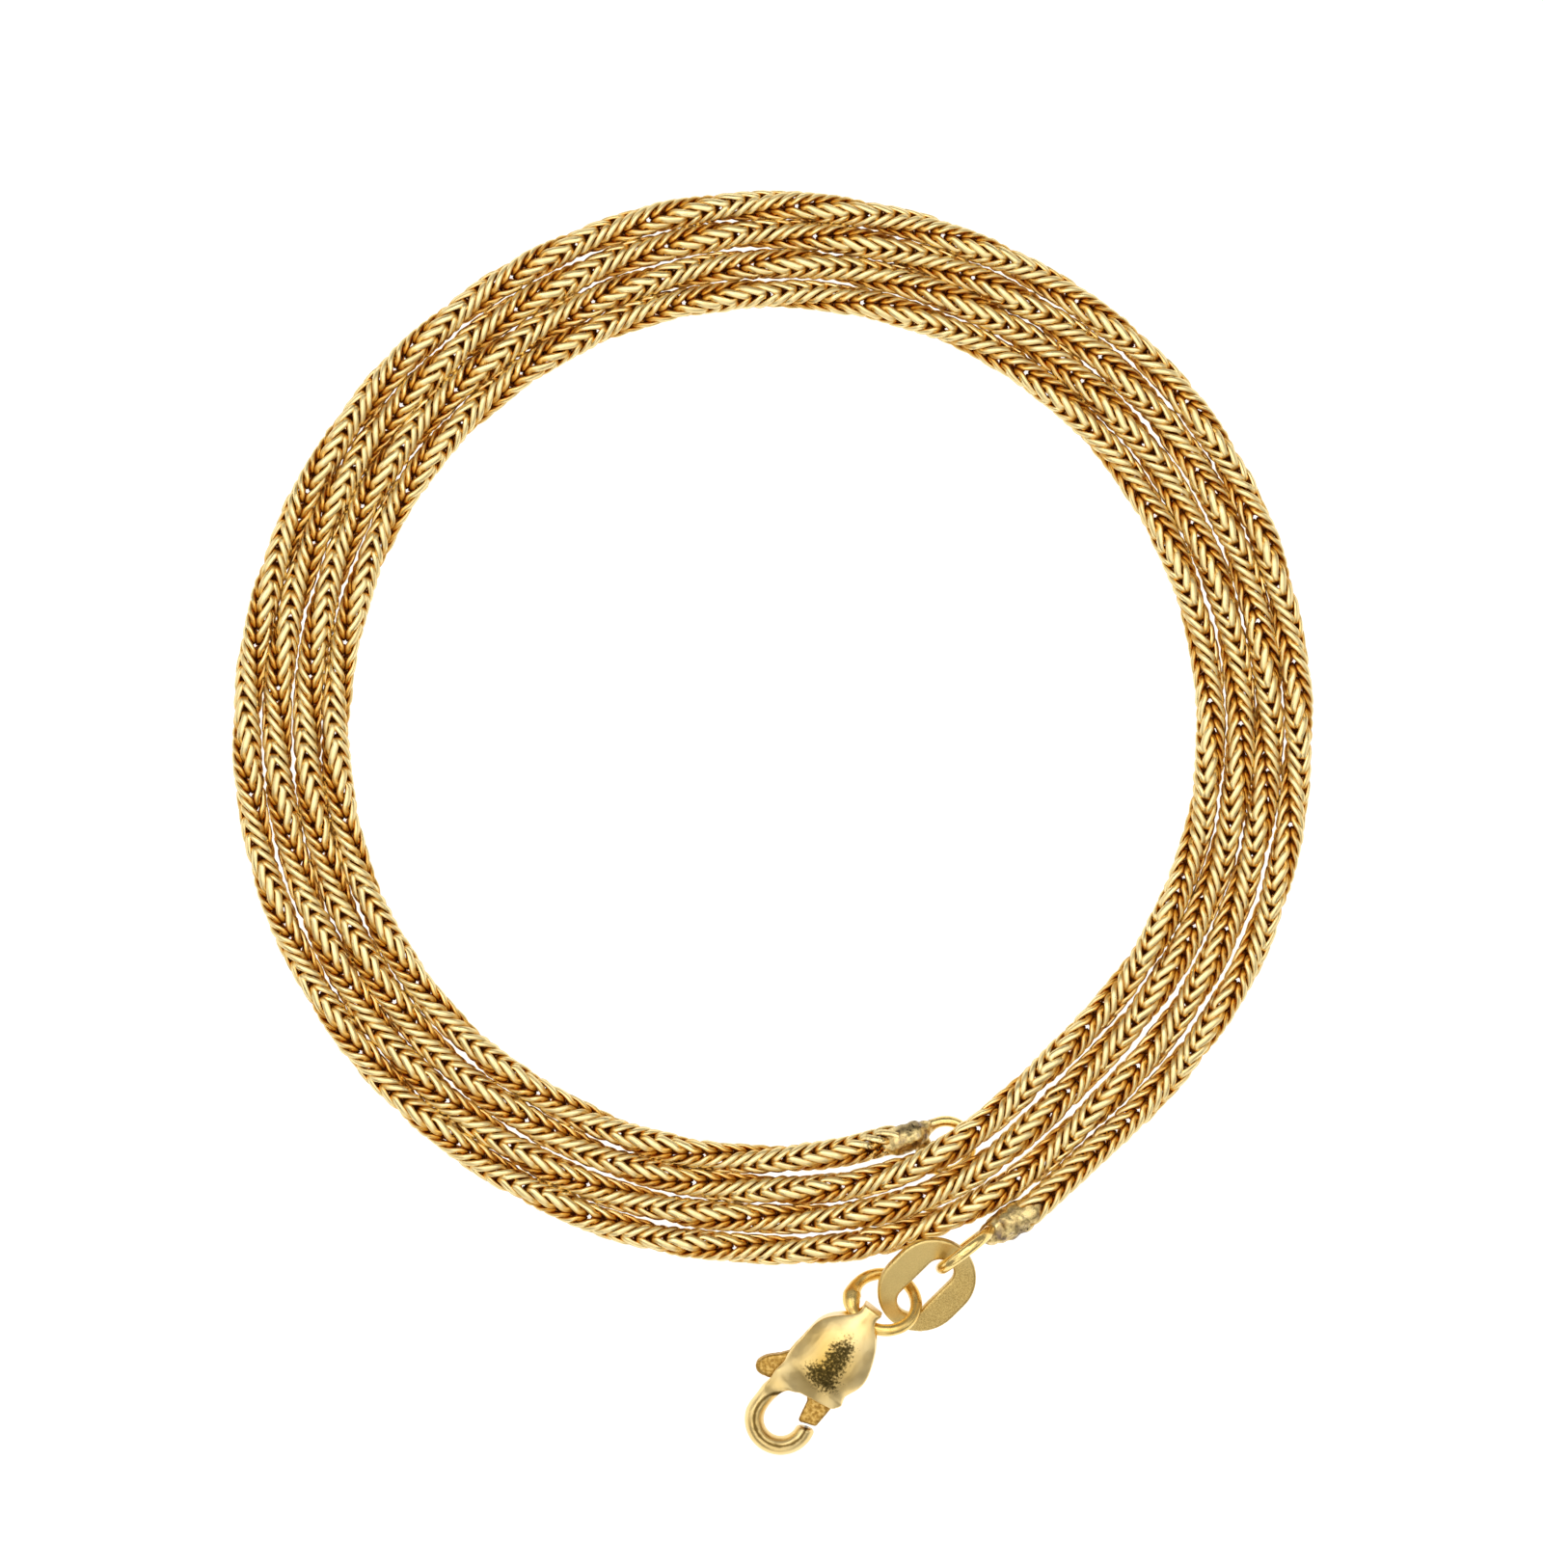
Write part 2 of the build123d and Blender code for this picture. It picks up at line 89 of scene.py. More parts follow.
# %% [markdown]
# Every material and every node tree below is drawn with the same small helper. It adds one node, gives it
# its settings and fills its inputs. An input takes a plain value, a colour as an sRGB hex, or the output of
# another node. The helper gives back the node's first output, because that is what the next node wants.

# %% The helper that adds a node
def linear(hex_colour):
    """An sRGB hex colour as the linear numbers that Blender's sockets take."""
    shares = [int(hex_colour[at : at + 2], 16) / 255 for at in (1, 3, 5)]
    return tuple(s / 12.92 if s <= 0.04045 else ((s + 0.055) / 1.055) ** 2.4 for s in shares) + (1.0,)


def fill(tree, node, *in_order, **by_name):
    """Fills a node's inputs, those in use in their order, or by name with _ for a space."""
    in_use = [socket for socket in node.inputs if socket.enabled]
    named = {socket.name: socket for socket in in_use}
    pairs = list(zip(in_use, in_order)) + [(named[name.replace("_", " ")], by_name[name]) for name in by_name]
    for socket, value in pairs:
        if isinstance(value, bpy.types.NodeSocket):
            tree.links.new(value, socket)
        elif isinstance(value, str) and value.startswith("#"):
            socket.default_value = linear(value)
        else:
            socket.default_value = value


def add_node(tree, kind, *in_order, out=0, stops=(), **named):
    """Adds a node and returns an output, or the node itself where out is None.

    Names in lower case are the node's settings, and names with a capital are its inputs. A colour ramp
    takes stops of (position, sRGB hex or grey level).
    """
    node = tree.nodes.new(kind)
    for name in filter(str.islower, named):
        setattr(node, name, named[name])
    while stops and len(node.color_ramp.elements) < len(stops):
        node.color_ramp.elements.new(0.5)
    for (position, colour), element in zip(stops, node.color_ramp.elements if stops else ()):
        element.position = position
        element.color = linear(colour) if isinstance(colour, str) else (colour, colour, colour, 1)
    fill(tree, node, *in_order, **{name: named[name] for name in named if not name.islower()})
    if out is None:
        return node
    in_use = [socket for socket in node.outputs if socket.enabled]
    return in_use[out] if isinstance(out, int) else node.outputs[out]


print("14 carat gold:", [round(c, 3) for c in linear("#F6D383")[:3]])

# %% [markdown]
# The chain's route is the CAD tube's: a table of one turn, walked round four times. Each row gives a bearing,
# the turn's radius, the spacing of the turns, how far the chain has stepped out to the next turn, and how
# high it is lifted where it crosses the inner ring. A NURBS curve through these control points is smooth all
# the way, as a limp chain is. The turns swing a little more than the tube's, so that they touch and part,
# and they lie a little higher, because the crests of the links stand out past the tube.

# %% Route of the chain
CHAIN_RADIUS = 0.66
COIL_INNER_RADIUS = 21.7
TURN_PITCH = 1.47
TURNS = 4
COIL_CENTRE = (0.111431, 4.78593)
START_BEARING, START_RADIUS_SHARE, START_HEIGHT = 74.2, 0.986, 0.73
END_BEARING = 62.0
TURN_WOBBLE, WOBBLE_WAVES, WOBBLE_PHASE = 0.05, 5, 100.0
FULL_LIFT = 0.63
WEAVE_PLAY = 0.13
TURN_LIFTS = (1.0, 0.80, 0.0, 0.62)
STEPS_BETWEEN_POINTS = 20
TURN_TABLE = (
    # bearing, radius, pitch, step, lift
    (86.0, 0.996, 1.020, 0, 0),
    (104.0, 0.997, 1.010, 0, 0),
    (122.0, 1.002, 0.985, 0, 0),
    (140.0, 1.011, 0.983, 0, 0),
    (158.0, 1.010, 1.010, 0, 0),
    (176.0, 1.011, 0.997, 0, 0),
    (194.0, 1.008, 0.986, 0, 0),
    (212.0, 1.008, 0.965, 0, 0),
    (230.0, 0.999, 0.983, 0, 0),
    (248.0, 0.998, 0.980, 0, 0),
    (266.0, 0.998, 1.000, 0, 0),
    (284.0, 0.995, 0.980, 0, 0),
    (302.0, 0.996, 0.986, 0, 0),
    (320.0, 0.997, 1.020, 0, 0),
    (338.0, 1.000, 0.997, 0, 0),
    (356.0, 1.001, 0.997, 0, 0),
    (373.0, 0.999, 1.010, 0, 0),
    (387.0, 0.996, 1.050, 0, 0),
    (398.0, 0.994, 1.060, 0, 0),
    (406.5, 0.995, 1.065, 0, 0),
    (414.5, 0.996, 1.065, 0.13, 0.45),
    (422.0, 0.996, 1.090, 0.47, 1.00),
    (429.5, 0.996, 1.040, 0.82, 1.00),
    (437.0, 0.996, 1.030, 0.97, 0.80),
)


def on_coil(bearing, radius, height):
    """A point in metres by its bearing clockwise round the coil's centre."""
    turned = radians(-bearing)
    return (
        MM * (radius * cos(turned) + COIL_CENTRE[0]),
        MM * (radius * sin(turned) + COIL_CENTRE[1]),
        MM * height,
    )


def coil_points():
    """Control points of the chain's route, turn by turn from its inner end."""
    bearings = [row[0] for row in TURN_TABLE]
    before = [bearings[-1] - 360] + bearings[:-1]
    after = bearings[1:] + [bearings[0] + 360]
    points = [on_coil(START_BEARING, COIL_INNER_RADIUS * START_RADIUS_SHARE, START_HEIGHT)]
    for turn in range(TURNS):
        for row, last, following in zip(TURN_TABLE, before, after):
            bearing, radius_share, pitch_share, step, lift = row
            if turn == TURNS - 1 and bearing > 360 + END_BEARING:
                break
            wobble = TURN_WOBBLE * sin(radians(WOBBLE_WAVES * bearing + WOBBLE_PHASE * turn))
            radius = COIL_INNER_RADIUS * radius_share + TURN_PITCH * pitch_share * (turn + step) + wobble
            corner_radius = radius / cos(radians((following - last) / 4))
            height = CHAIN_RADIUS + WEAVE_PLAY + FULL_LIFT * lift * TURN_LIFTS[turn]
            points.append(on_coil(bearing, corner_radius, height))
    return points


def nurbs_route(name, points):
    """A smooth curve over the points, with its order set after they are added."""
    curve = bpy.data.curves.new(name, "CURVE")
    curve.dimensions = "3D"
    spline = curve.splines.new("NURBS")
    spline.points.add(len(points) - 1)
    for point, place in zip(spline.points, points):
        point.co = (*place, 1.0)
    spline.order_u = 3
    spline.use_endpoint_u = True
    spline.resolution_u = STEPS_BETWEEN_POINTS
    route = bpy.data.objects.new(name, curve)
    bpy.context.scene.collection.objects.link(route)
    return route


route = nurbs_route("chain_route", coil_points())
drawn = bpy.data.meshes.new_from_object(route)
line_points = np.array([vertex.co for vertex in drawn.vertices])
bpy.data.meshes.remove(drawn)
line_places = np.concatenate([[0], np.cumsum(np.linalg.norm(np.diff(line_points, axis=0), axis=1))])
route_length = float(line_places[-1])
print("route:", len(route.data.splines[0].points), "points, length", round(1000 * route_length, 2), "mm")

# %% [markdown]
# The chain lies twisted, a left-handed half turn about every eight millimetres, so that first one row of
# ears and then the row behind it faces up. The table says where along the chain a row faces up in the
# photograph. The route's own points carry this twist as their tilt, and the curve blends it between them.

# %% Twist of the chain
EARS_UP = (
    2.5, 10.4, 18.8, 27.8, 36.5, 45.2, 53.8, 62.0, 70.3, 79.6, 88.6, 97.9, 108.1, 117.2, 125.8, 133.1,
    140.2, 147.9, 157.2, 166.1, 174.8, 183.4, 191.8, 199.8, 207.5, 215.3, 224.6, 233.6, 243.2, 253.4,
    264.2, 274.3, 283.4, 291.6, 300.4, 308.6, 316.1, 323.6, 331.2, 338.9, 347.1, 355.0, 362.4, 370.2,
    378.1, 385.9, 393.6, 401.3, 409.2, 417.3, 425.3, 433.3, 441.3, 448.5, 455.8, 462.8, 470.0, 477.1,
    484.4, 491.8, 499.6, 507.4, 514.9, 522.1, 529.4, 536.8, 544.1, 551.7, 558.7, 566.2, 574.5, 582.5, 590.7,
)
EAR_AZIMUTH = 105.0

for point in route.data.splines[0].points:
    nearest = np.argmin(np.linalg.norm(line_points - np.array(point.co[:3]), axis=1))
    ears_passed = np.interp(1000 * line_places[nearest], EARS_UP, range(len(EARS_UP)))
    point.tilt = radians(EAR_AZIMUTH + 180 * float(ears_passed))
print("half turns:", len(EARS_UP) - 1)

# %% [markdown]
# A wheat chain, or spiga, is woven from closed oval rings. Each ring is pinched at its middle and folded
# up into a double loop, and the rings that follow pass through its two arches. Seen on the chain, each
# ring shows four slanting legs, which line up into ears of wheat. One ring is drawn here as a Bezier loop
# with automatic handles, from the points of one quarter of it.

# %% The line of one ring, in millimetres, with z along the chain
from mathutils import Vector

PINCHED_MIDDLE = Vector((0.0, 0.155, 0.0))
WAY_OUT_TO_THE_LEG = (Vector((0.31, 0.155, -0.02)), Vector((0.43, 0.158, 0.12)))
LEG_RADII = (0.52, 0.605, 0.645, 0.615, 0.55)
LEG_FOOT, LEG_TOP = 0.32, 1.45
FOOT_AZIMUTH, TOP_AZIMUTH = 18.0, 77.0
WAY_IN_TO_THE_ARCH = Vector((0.135, 0.36, 1.70))
ARCH = Vector((0.16, 0.0, 1.79))
CHAIN_FLATNESS = 0.95
LOOP_STEPS = 2


def ring_corners():
    """Points along one closed ring: its quarter, and the quarter's three mirror images."""
    quarter = list(WAY_OUT_TO_THE_LEG)
    for i, leg_radius in enumerate(LEG_RADII):
        share = i / (len(LEG_RADII) - 1)
        azimuth = radians(FOOT_AZIMUTH + (TOP_AZIMUTH - FOOT_AZIMUTH) * share)
        height = LEG_FOOT + (LEG_TOP - LEG_FOOT) * share
        quarter.append(Vector((leg_radius * cos(azimuth), leg_radius * sin(azimuth), height)))
    quarter.append(WAY_IN_TO_THE_ARCH)
    up = [PINCHED_MIDDLE] + quarter + [ARCH]
    down = [Vector((p.x, -p.y, p.z)) for p in reversed(quarter)]
    half = up + down
    closed = half + [Vector((-p.x, -p.y, p.z)) for p in half]
    return [Vector((p.x * CHAIN_FLATNESS, p.y / CHAIN_FLATNESS, p.z)) for p in closed]


def drawn_loop(corners):
    """Points along a closed Bezier loop through the corners."""
    curve = bpy.data.curves.new("loop", "CURVE")
    curve.dimensions = "3D"
    curve.resolution_u = LOOP_STEPS
    spline = curve.splines.new("BEZIER")
    spline.bezier_points.add(len(corners) - 1)
    for point, corner in zip(spline.bezier_points, corners):
        point.co = corner
        point.handle_left_type = point.handle_right_type = "AUTO"
    spline.use_cyclic_u = True
    loop = bpy.data.objects.new("loop", curve)
    bpy.context.scene.collection.objects.link(loop)
    mesh = bpy.data.meshes.new_from_object(loop)
    points = [vertex.co.copy() for vertex in mesh.vertices]
    bpy.data.objects.remove(loop)
    bpy.data.meshes.remove(mesh)
    return points


ring_line = drawn_loop(ring_corners())
print("line of one ring:", len(ring_line), "points")

# %% [markdown]
# Once it is woven, such a chain is drawn through a die, which presses every wire flat where it stands out
# furthest. So the wire here is wider than it is thick, with a flat on its outer side, and no point of it
# lies outside the die. It has only six sides, because the chain has about eight hundred rings. A face's
# corners go round anticlockwise as seen from outside, which makes it point outwards.

# %% The wire of one ring
WIRE_SECTION = (
    # across, out
    (-0.12, 0.12),
    (0.12, 0.12),
    (0.18, 0.0),
    (0.09, -0.125),
    (-0.09, -0.125),
    (-0.18, 0.0),
)
DIE_RADIUS = 0.75
RING_MIDDLE = 0.9


def pressed_wire(name, points):
    """A closed wire along the points, with the flat of its section looking outwards."""
    corners = []
    for i, point in enumerate(points):
        forward = (points[(i + 1) % len(points)] - points[i - 1]).normalized()
        outward = Vector((point.x, point.y, point.z - RING_MIDDLE))
        outward = (outward - outward.dot(forward) * forward).normalized()
        sideways = forward.cross(outward)
        for across, out in WIRE_SECTION:
            corner = point + sideways * across + outward * out
            pressed = min(1.0, DIE_RADIUS / corner.xy.length)
            corners.append(MM * Vector((corner.x * pressed, corner.y * pressed, corner.z)))
    sides, faces = len(WIRE_SECTION), []
    for i in range(len(points)):
        here, there = i * sides, (i + 1) % len(points) * sides
        for k in range(sides):
            following = (k + 1) % sides
            faces.append((here + k, there + k, there + following, here + following))
    mesh = bpy.data.meshes.new(name)
    mesh.from_pydata(corners, [], faces)
    mesh.update()
    return mesh


ring_mesh = pressed_wire("wheat_ring", ring_line)
print("one ring:", len(ring_mesh.vertices), "points,", 2 * len(ring_mesh.polygons), "triangles")

# %% [markdown]
# Geometry Nodes lay the rings along the route. The rings are first set out in a straight line, one every
# pitch, with a little unevenness from the hand that wove them. The tree's inputs are named for its sizes, so
# that the same tree serves each turn of the coil.

# %% Node tree: a straight row of rings
tree = bpy.data.node_groups.new("woven_chain", "GeometryNodeTree")
for name, kind in {
    "Ring": "NodeSocketGeometry",
    "Route": "NodeSocketObject",
    "Rings": "NodeSocketInt",
    "Start": "NodeSocketFloat",
    "Pitch": "NodeSocketFloat",
    "Unevenness": "NodeSocketFloat",
    "Chain radius": "NodeSocketFloat",
    "Seed": "NodeSocketInt",
    "Metal": "NodeSocketMaterial",
}.items():
    tree.interface.new_socket(name, in_out="INPUT", socket_type=kind)
tree.interface.new_socket("Chain", in_out="OUTPUT", socket_type="NodeSocketGeometry")
given = add_node(tree, "NodeGroupInput", out=None).outputs
first_place = add_node(tree, "ShaderNodeCombineXYZ", Z=given["Start"])
one_pitch = add_node(tree, "ShaderNodeCombineXYZ", Z=given["Pitch"])
row = add_node(
    tree, "GeometryNodeMeshLine", mode="OFFSET",
    Count=given["Rings"], Start_Location=first_place, Offset=one_pitch,
)
lean = add_node(
    tree, "FunctionNodeRandomValue", (-1.0, -1.0, -1.0), (1.0, 1.0, 1.0),
    data_type="FLOAT_VECTOR", Seed=given["Seed"],
)
lean = add_node(tree, "ShaderNodeVectorMath", lean, given["Unevenness"], operation="SCALE")
rings = add_node(tree, "GeometryNodeInstanceOnPoints", Points=row, Instance=given["Ring"], Rotation=lean)
woven = add_node(tree, "GeometryNodeRealizeInstances", rings)
print("nodes for the straight row:", len(tree.nodes))

# %% [markdown]
# Then each point of the wire is turned round the chain's axis, because such a chain lies twisted, and
# carried over to the route with Sample Curve. The rings bend with the chain this way, which copies placed
# along the curve wouldn't. Past an end of the route, a point goes straight on.

# %% Node tree: the places along the route
straight = add_node(tree, "GeometryNodeInputPosition")
along = add_node(tree, "ShaderNodeSeparateXYZ", straight, out="Z")
across = add_node(tree, "ShaderNodeVectorMath", straight, (1.0, 1.0, 0.0), operation="MULTIPLY")
outwards = add_node(tree, "ShaderNodeVectorMath", across, operation="LENGTH")
outwards = add_node(tree, "ShaderNodeMath", outwards, given["Chain radius"], operation="DIVIDE")
line = add_node(tree, "GeometryNodeObjectInfo", Object=given["Route"], out="Geometry")
line_length = add_node(tree, "GeometryNodeCurveLength", line)
on_line = add_node(tree, "ShaderNodeMath", along, 0.0, operation="MAXIMUM")
on_line = add_node(tree, "ShaderNodeMath", on_line, line_length, operation="MINIMUM")
past_end = add_node(tree, "ShaderNodeMath", along, on_line, operation="SUBTRACT")
twist = add_node(tree, "GeometryNodeInputCurveTilt")
sample = add_node(
    tree, "GeometryNodeSampleCurve", mode="LENGTH", use_all_curves=True,
    Curves=line, Value=twist, Length=on_line, out=None,
).outputs
turned = add_node(
    tree, "ShaderNodeVectorRotate", rotation_type="Z_AXIS", Vector=across, Angle=sample["Value"],
)
turned = add_node(tree, "ShaderNodeSeparateXYZ", turned, out=None).outputs
forward = sample["Tangent"]
side = add_node(tree, "ShaderNodeVectorMath", forward, (0.0, 0.0, 1.0), operation="CROSS_PRODUCT")
side = add_node(tree, "ShaderNodeVectorMath", side, operation="NORMALIZE")
up = add_node(tree, "ShaderNodeVectorMath", side, forward, operation="CROSS_PRODUCT")
place = sample["Position"]
for direction, reach in ((side, turned["X"]), (up, turned["Y"]), (forward, past_end)):
    step = add_node(tree, "ShaderNodeVectorMath", direction, reach, operation="SCALE")
    place = add_node(tree, "ShaderNodeVectorMath", place, step, operation="ADD")
print("nodes with the places:", len(tree.nodes))

# %% [markdown]
# Each point of the wire keeps how far out it lies from the chain's axis, as an attribute for the material.
# The moved rings are shaded smooth and get their metal, and the tree is whole.

# %% Node tree: the rings laid along the route and dressed
depth_kept = add_node(
    tree, "GeometryNodeStoreNamedAttribute", data_type="FLOAT", domain="POINT",
    Geometry=woven, Name="outwards", Value=outwards,
)
laid = add_node(tree, "GeometryNodeSetPosition", Geometry=depth_kept, Position=place)
smooth = add_node(tree, "GeometryNodeSetShadeSmooth", laid)
dressed = add_node(tree, "GeometryNodeSetMaterial", Geometry=smooth, Material=given["Metal"])
add_node(tree, "NodeGroupOutput", dressed, out=None)
print("nodes in the whole tree:", len(tree.nodes))

# %% [markdown]
# Every metal starts from the same shader: metallic 1, the default IOR, its own colour and a roughness. The
# patterns on it are worked out from sizes in millimetres, so a noise gets its scale from the width of its
# lumps, and a stain is an oval patch with its place and half sizes.

# %% Helpers for the metals
def metal(name, colour, roughness):
    """A new metal with its node tree, its shader, and the place of a point in the piece's own metres.

    The colour and roughness are the plain ones, for viewers that don't show the patterns.
    """
    material = bpy.data.materials.new(name)
    material.use_nodes = True
    tree_of = material.node_tree
    shader = tree_of.nodes["Principled BSDF"]
    fill(tree_of, shader, Base_Color=colour, Metallic=1.0, Roughness=roughness)
    return material, tree_of, shader, add_node(tree_of, "ShaderNodeTexCoord", out="Object")


def lump_scale(size):
    """The scale of a noise whose lumps are about this many millimetres across."""
    return 1 / (size * MM)


def patch(tree_of, place, centre, size, turn=0.0):
    """1 in the middle of an oval patch and 0 at its edge. Centre and half sizes in millimetres."""
    inside = add_node(
        tree_of, "ShaderNodeMapping", vector_type="TEXTURE", Vector=place,
        Location=[MM * c for c in centre], Rotation=(0, 0, radians(turn)), Scale=[MM * c for c in size],
    )
    reach = add_node(tree_of, "ShaderNodeVectorMath", inside, operation="LENGTH")
    return add_node(tree_of, "ShaderNodeMath", 1.0, reach, operation="SUBTRACT", use_clamp=True)


print("lumps of half a millimetre: scale", lump_scale(0.5))

# %% [markdown]
# The chain's metal is 14 carat yellow gold, drawn to wire and tumbled bright. Deeper in the weave light
# bounces from wire to wire, takes the gold's colour each time and comes out brown. A render follows only a
# few bounces, so the attribute from the node tree paints shade into the colour: pale warm yellow on the
# crests, browner with depth. Near the inner solder lie a few grains of soot.

# %% Material of the chain
SOOT = ((5.2, -16.1, 0.9), (1.3, 0.9, 1.2), 10)
SOOT_STRENGTH = 1.6

# Tumbled wire: bright and a little hazy, so that each leg has one soft line of light
chain_gold, tree_of, shader, place = metal("gold_wire_14k_tumbled", "#F6D383", 0.30)
outwards = add_node(tree_of, "ShaderNodeAttribute", attribute_name="outwards", out="Fac")
# Painted shade: the wire's colour goes from pale on the crests to brown deep in the weave
painted_depth_shade = add_node(
    tree_of, "ShaderNodeValToRGB", outwards,
    stops=[(0.50, "#BC8129"), (0.78, "#C88E34"), (0.90, "#ECC274"), (0.98, "#FAE3A9")],
)
grains = add_node(tree_of, "ShaderNodeTexNoise", Vector=place, Scale=lump_scale(0.12), Detail=3)
grains = add_node(tree_of, "ShaderNodeValToRGB", grains, stops=[(0.40, 1.0), (0.50, 0.0)])
soot = patch(tree_of, place, *SOOT)
soot = add_node(tree_of, "ShaderNodeMath", grains, soot, operation="MULTIPLY")
soot = add_node(tree_of, "ShaderNodeMath", soot, SOOT_STRENGTH, operation="MULTIPLY", use_clamp=True)
haze = add_node(tree_of, "ShaderNodeTexNoise", Vector=place, Scale=lump_scale(0.5))
dents = add_node(tree_of, "ShaderNodeTexNoise", Vector=place, Scale=lump_scale(0.12))
fill(
    tree_of, shader,
    Base_Color=add_node(tree_of, "ShaderNodeMix", soot, painted_depth_shade, "#2E241C", data_type="RGBA"),
    Roughness=add_node(tree_of, "ShaderNodeValToRGB", haze, stops=[(0.35, 0.27), (0.65, 0.48)]),
    Normal=add_node(tree_of, "ShaderNodeBump", Height=dents, Distance=0.003 * MM, Strength=1.0),
)
print("material:", chain_gold.name)

# %% [markdown]
# The rings are split into four pieces, one for each turn, so that no piece is too heavy. The pitch is
# rounded so that the rings fill the route from the solder of one cap to the solder of the other.

# %% The woven chain, one piece for each turn
RING_PITCH = 0.745 * MM
FIRST_RING = -0.80 * MM
LAST_RING = -1.10 * MM
UNEVENNESS = 0.035
WEAVE_RADIUS = 0.72 * MM

ring_count = 1 + round((route_length + LAST_RING - FIRST_RING) / RING_PITCH)
pitch = (route_length + LAST_RING - FIRST_RING) / (ring_count - 1)


def give_input(modifier, name, value):
    """Sets a modifier's input by its socket's identifier."""
    for item in modifier.node_group.interface.items_tree:
        if item.item_type == "SOCKET" and item.in_out == "INPUT" and item.name == name:
            modifier[item.identifier] = value


def finished(obj):
    """Turns what the modifiers make into the object's own plain mesh, and takes them off."""
    seen = obj.evaluated_get(bpy.context.evaluated_depsgraph_get())
    mesh = bpy.data.meshes.new_from_object(seen)
    mesh.name = obj.name
    obj.modifiers.clear()
    obj.data = mesh
    return obj


def triangle_count(obj):
    """How many triangles the faces of an object make."""
    return sum(len(face.vertices) - 2 for face in obj.data.polygons)


def chain_turn(number, first, count):
    """The rings of one turn of the coil, as one mesh."""
    turn = bpy.data.objects.new(f"chain_turn_{number}", ring_mesh.copy())
    bpy.context.scene.collection.objects.link(turn)
    weave = turn.modifiers.new("woven_chain", "NODES")
    weave.node_group = tree
    for name, value in {
        "Route": route,
        "Rings": count,
        "Start": FIRST_RING + first * pitch,
        "Pitch": pitch,
        "Unevenness": UNEVENNESS,
        "Chain radius": WEAVE_RADIUS,
        "Seed": number,
        "Metal": chain_gold,
    }.items():
        give_input(weave, name, value)
    return finished(turn)


turn_lengths = [COIL_INNER_RADIUS + TURN_PITCH * (turn + 0.5) for turn in range(TURNS)]
ring_at = [round(ring_count * sum(turn_lengths[:turn]) / sum(turn_lengths)) for turn in range(TURNS + 1)]
for number, (first, last) in enumerate(zip(ring_at, ring_at[1:]), start=1):
    turn = chain_turn(number, first, last - first)
    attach(turn, "necklace")
    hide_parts("chain")
    print(turn.name, last - first, "rings,", triangle_count(turn), "triangles")
bpy.data.objects.remove(route)
bpy.data.meshes.remove(ring_mesh)

# %% [markdown]
# Wire rings come next. Each is a circle of Bezier points with a round bevel, placed by its centre, by the
# direction of its first point and by its axis. A point may swell the wire, as the jump ring's solder does.

# %% Helper: a wire ring
RING_POINTS = 24
WIRE_STEPS = 6


def plan(heading, lean=0.0):
    """A direction by its heading seen from above and its lean out of the floor, in degrees."""
    level = cos(radians(lean))
    return Vector((level * cos(radians(heading)), level * sin(radians(heading)), sin(radians(lean))))


def wire_ring(name, centre, diameter, wire, x_dir, z_dir, swell=lambda angle: 1.0):
    """A ring of round wire as a mesh in millimetres. Its diameter is taken outside."""
    curve = bpy.data.curves.new(name, "CURVE")
    curve.dimensions = "3D"
    curve.bevel_depth = wire / 2
    curve.bevel_resolution = WIRE_STEPS
    curve.resolution_u = WIRE_STEPS
    spline = curve.splines.new("BEZIER")
    spline.bezier_points.add(RING_POINTS - 1)
    y_dir = z_dir.cross(x_dir)
    for i, point in enumerate(spline.bezier_points):
        angle = 2 * np.pi * i / RING_POINTS
        reach = (diameter - wire) / 2
        point.co = Vector(centre) + reach * (cos(angle) * x_dir + sin(angle) * y_dir)
        point.radius = swell(angle)
        point.handle_left_type = point.handle_right_type = "AUTO"
    spline.use_cyclic_u = True
    ring = bpy.data.objects.new(name, curve)
    bpy.context.scene.collection.objects.link(ring)
    mesh = bpy.data.meshes.new_from_object(ring)
    bpy.data.objects.remove(ring)
    return mesh


print("a ring has", RING_POINTS * WIRE_STEPS, "sections of wire")

# %% [markdown]
# Cast and soldered metal has no sharp edges. A voxel remesh melts a mesh into one skin, and smoothing rounds
# it. A voxel may not be smaller than a tenth of a millimetre in Blender's metres, so the melting is done at a
# scale of one unit to the millimetre, and the mesh is made small afterwards.

# %% Helpers: melting, and making small
import bmesh
from mathutils import Matrix

SAME_POINT = 0.0005


def melted(name, mesh, voxel, passes):
    """One closed skin over a mesh in millimetres, with its edges softened."""
    rough = bpy.data.objects.new(name, mesh)
    bpy.context.scene.collection.objects.link(rough)
    skin = rough.modifiers.new("skin", "REMESH")
    skin.mode = "VOXEL"
    skin.voxel_size = voxel
    melt = rough.modifiers.new("melt", "SMOOTH")
    melt.factor = 0.5
    melt.iterations = passes
    soft = bpy.data.meshes.new_from_object(rough.evaluated_get(bpy.context.evaluated_depsgraph_get()))
    bpy.data.objects.remove(rough)
    bpy.data.meshes.remove(mesh)
    return soft


def cad_copy(*names):
    """The meshes of CAD nodes as one merged mesh in millimetres."""
    work = bmesh.new()
    for node in names:
        work.from_mesh(nodes[node].data)
    bmesh.ops.scale(work, vec=(1 / MM, 1 / MM, 1 / MM), verts=work.verts)
    bmesh.ops.remove_doubles(work, verts=work.verts, dist=SAME_POINT)
    mesh = bpy.data.meshes.new("copy")
    work.to_mesh(mesh)
    work.free()
    return mesh


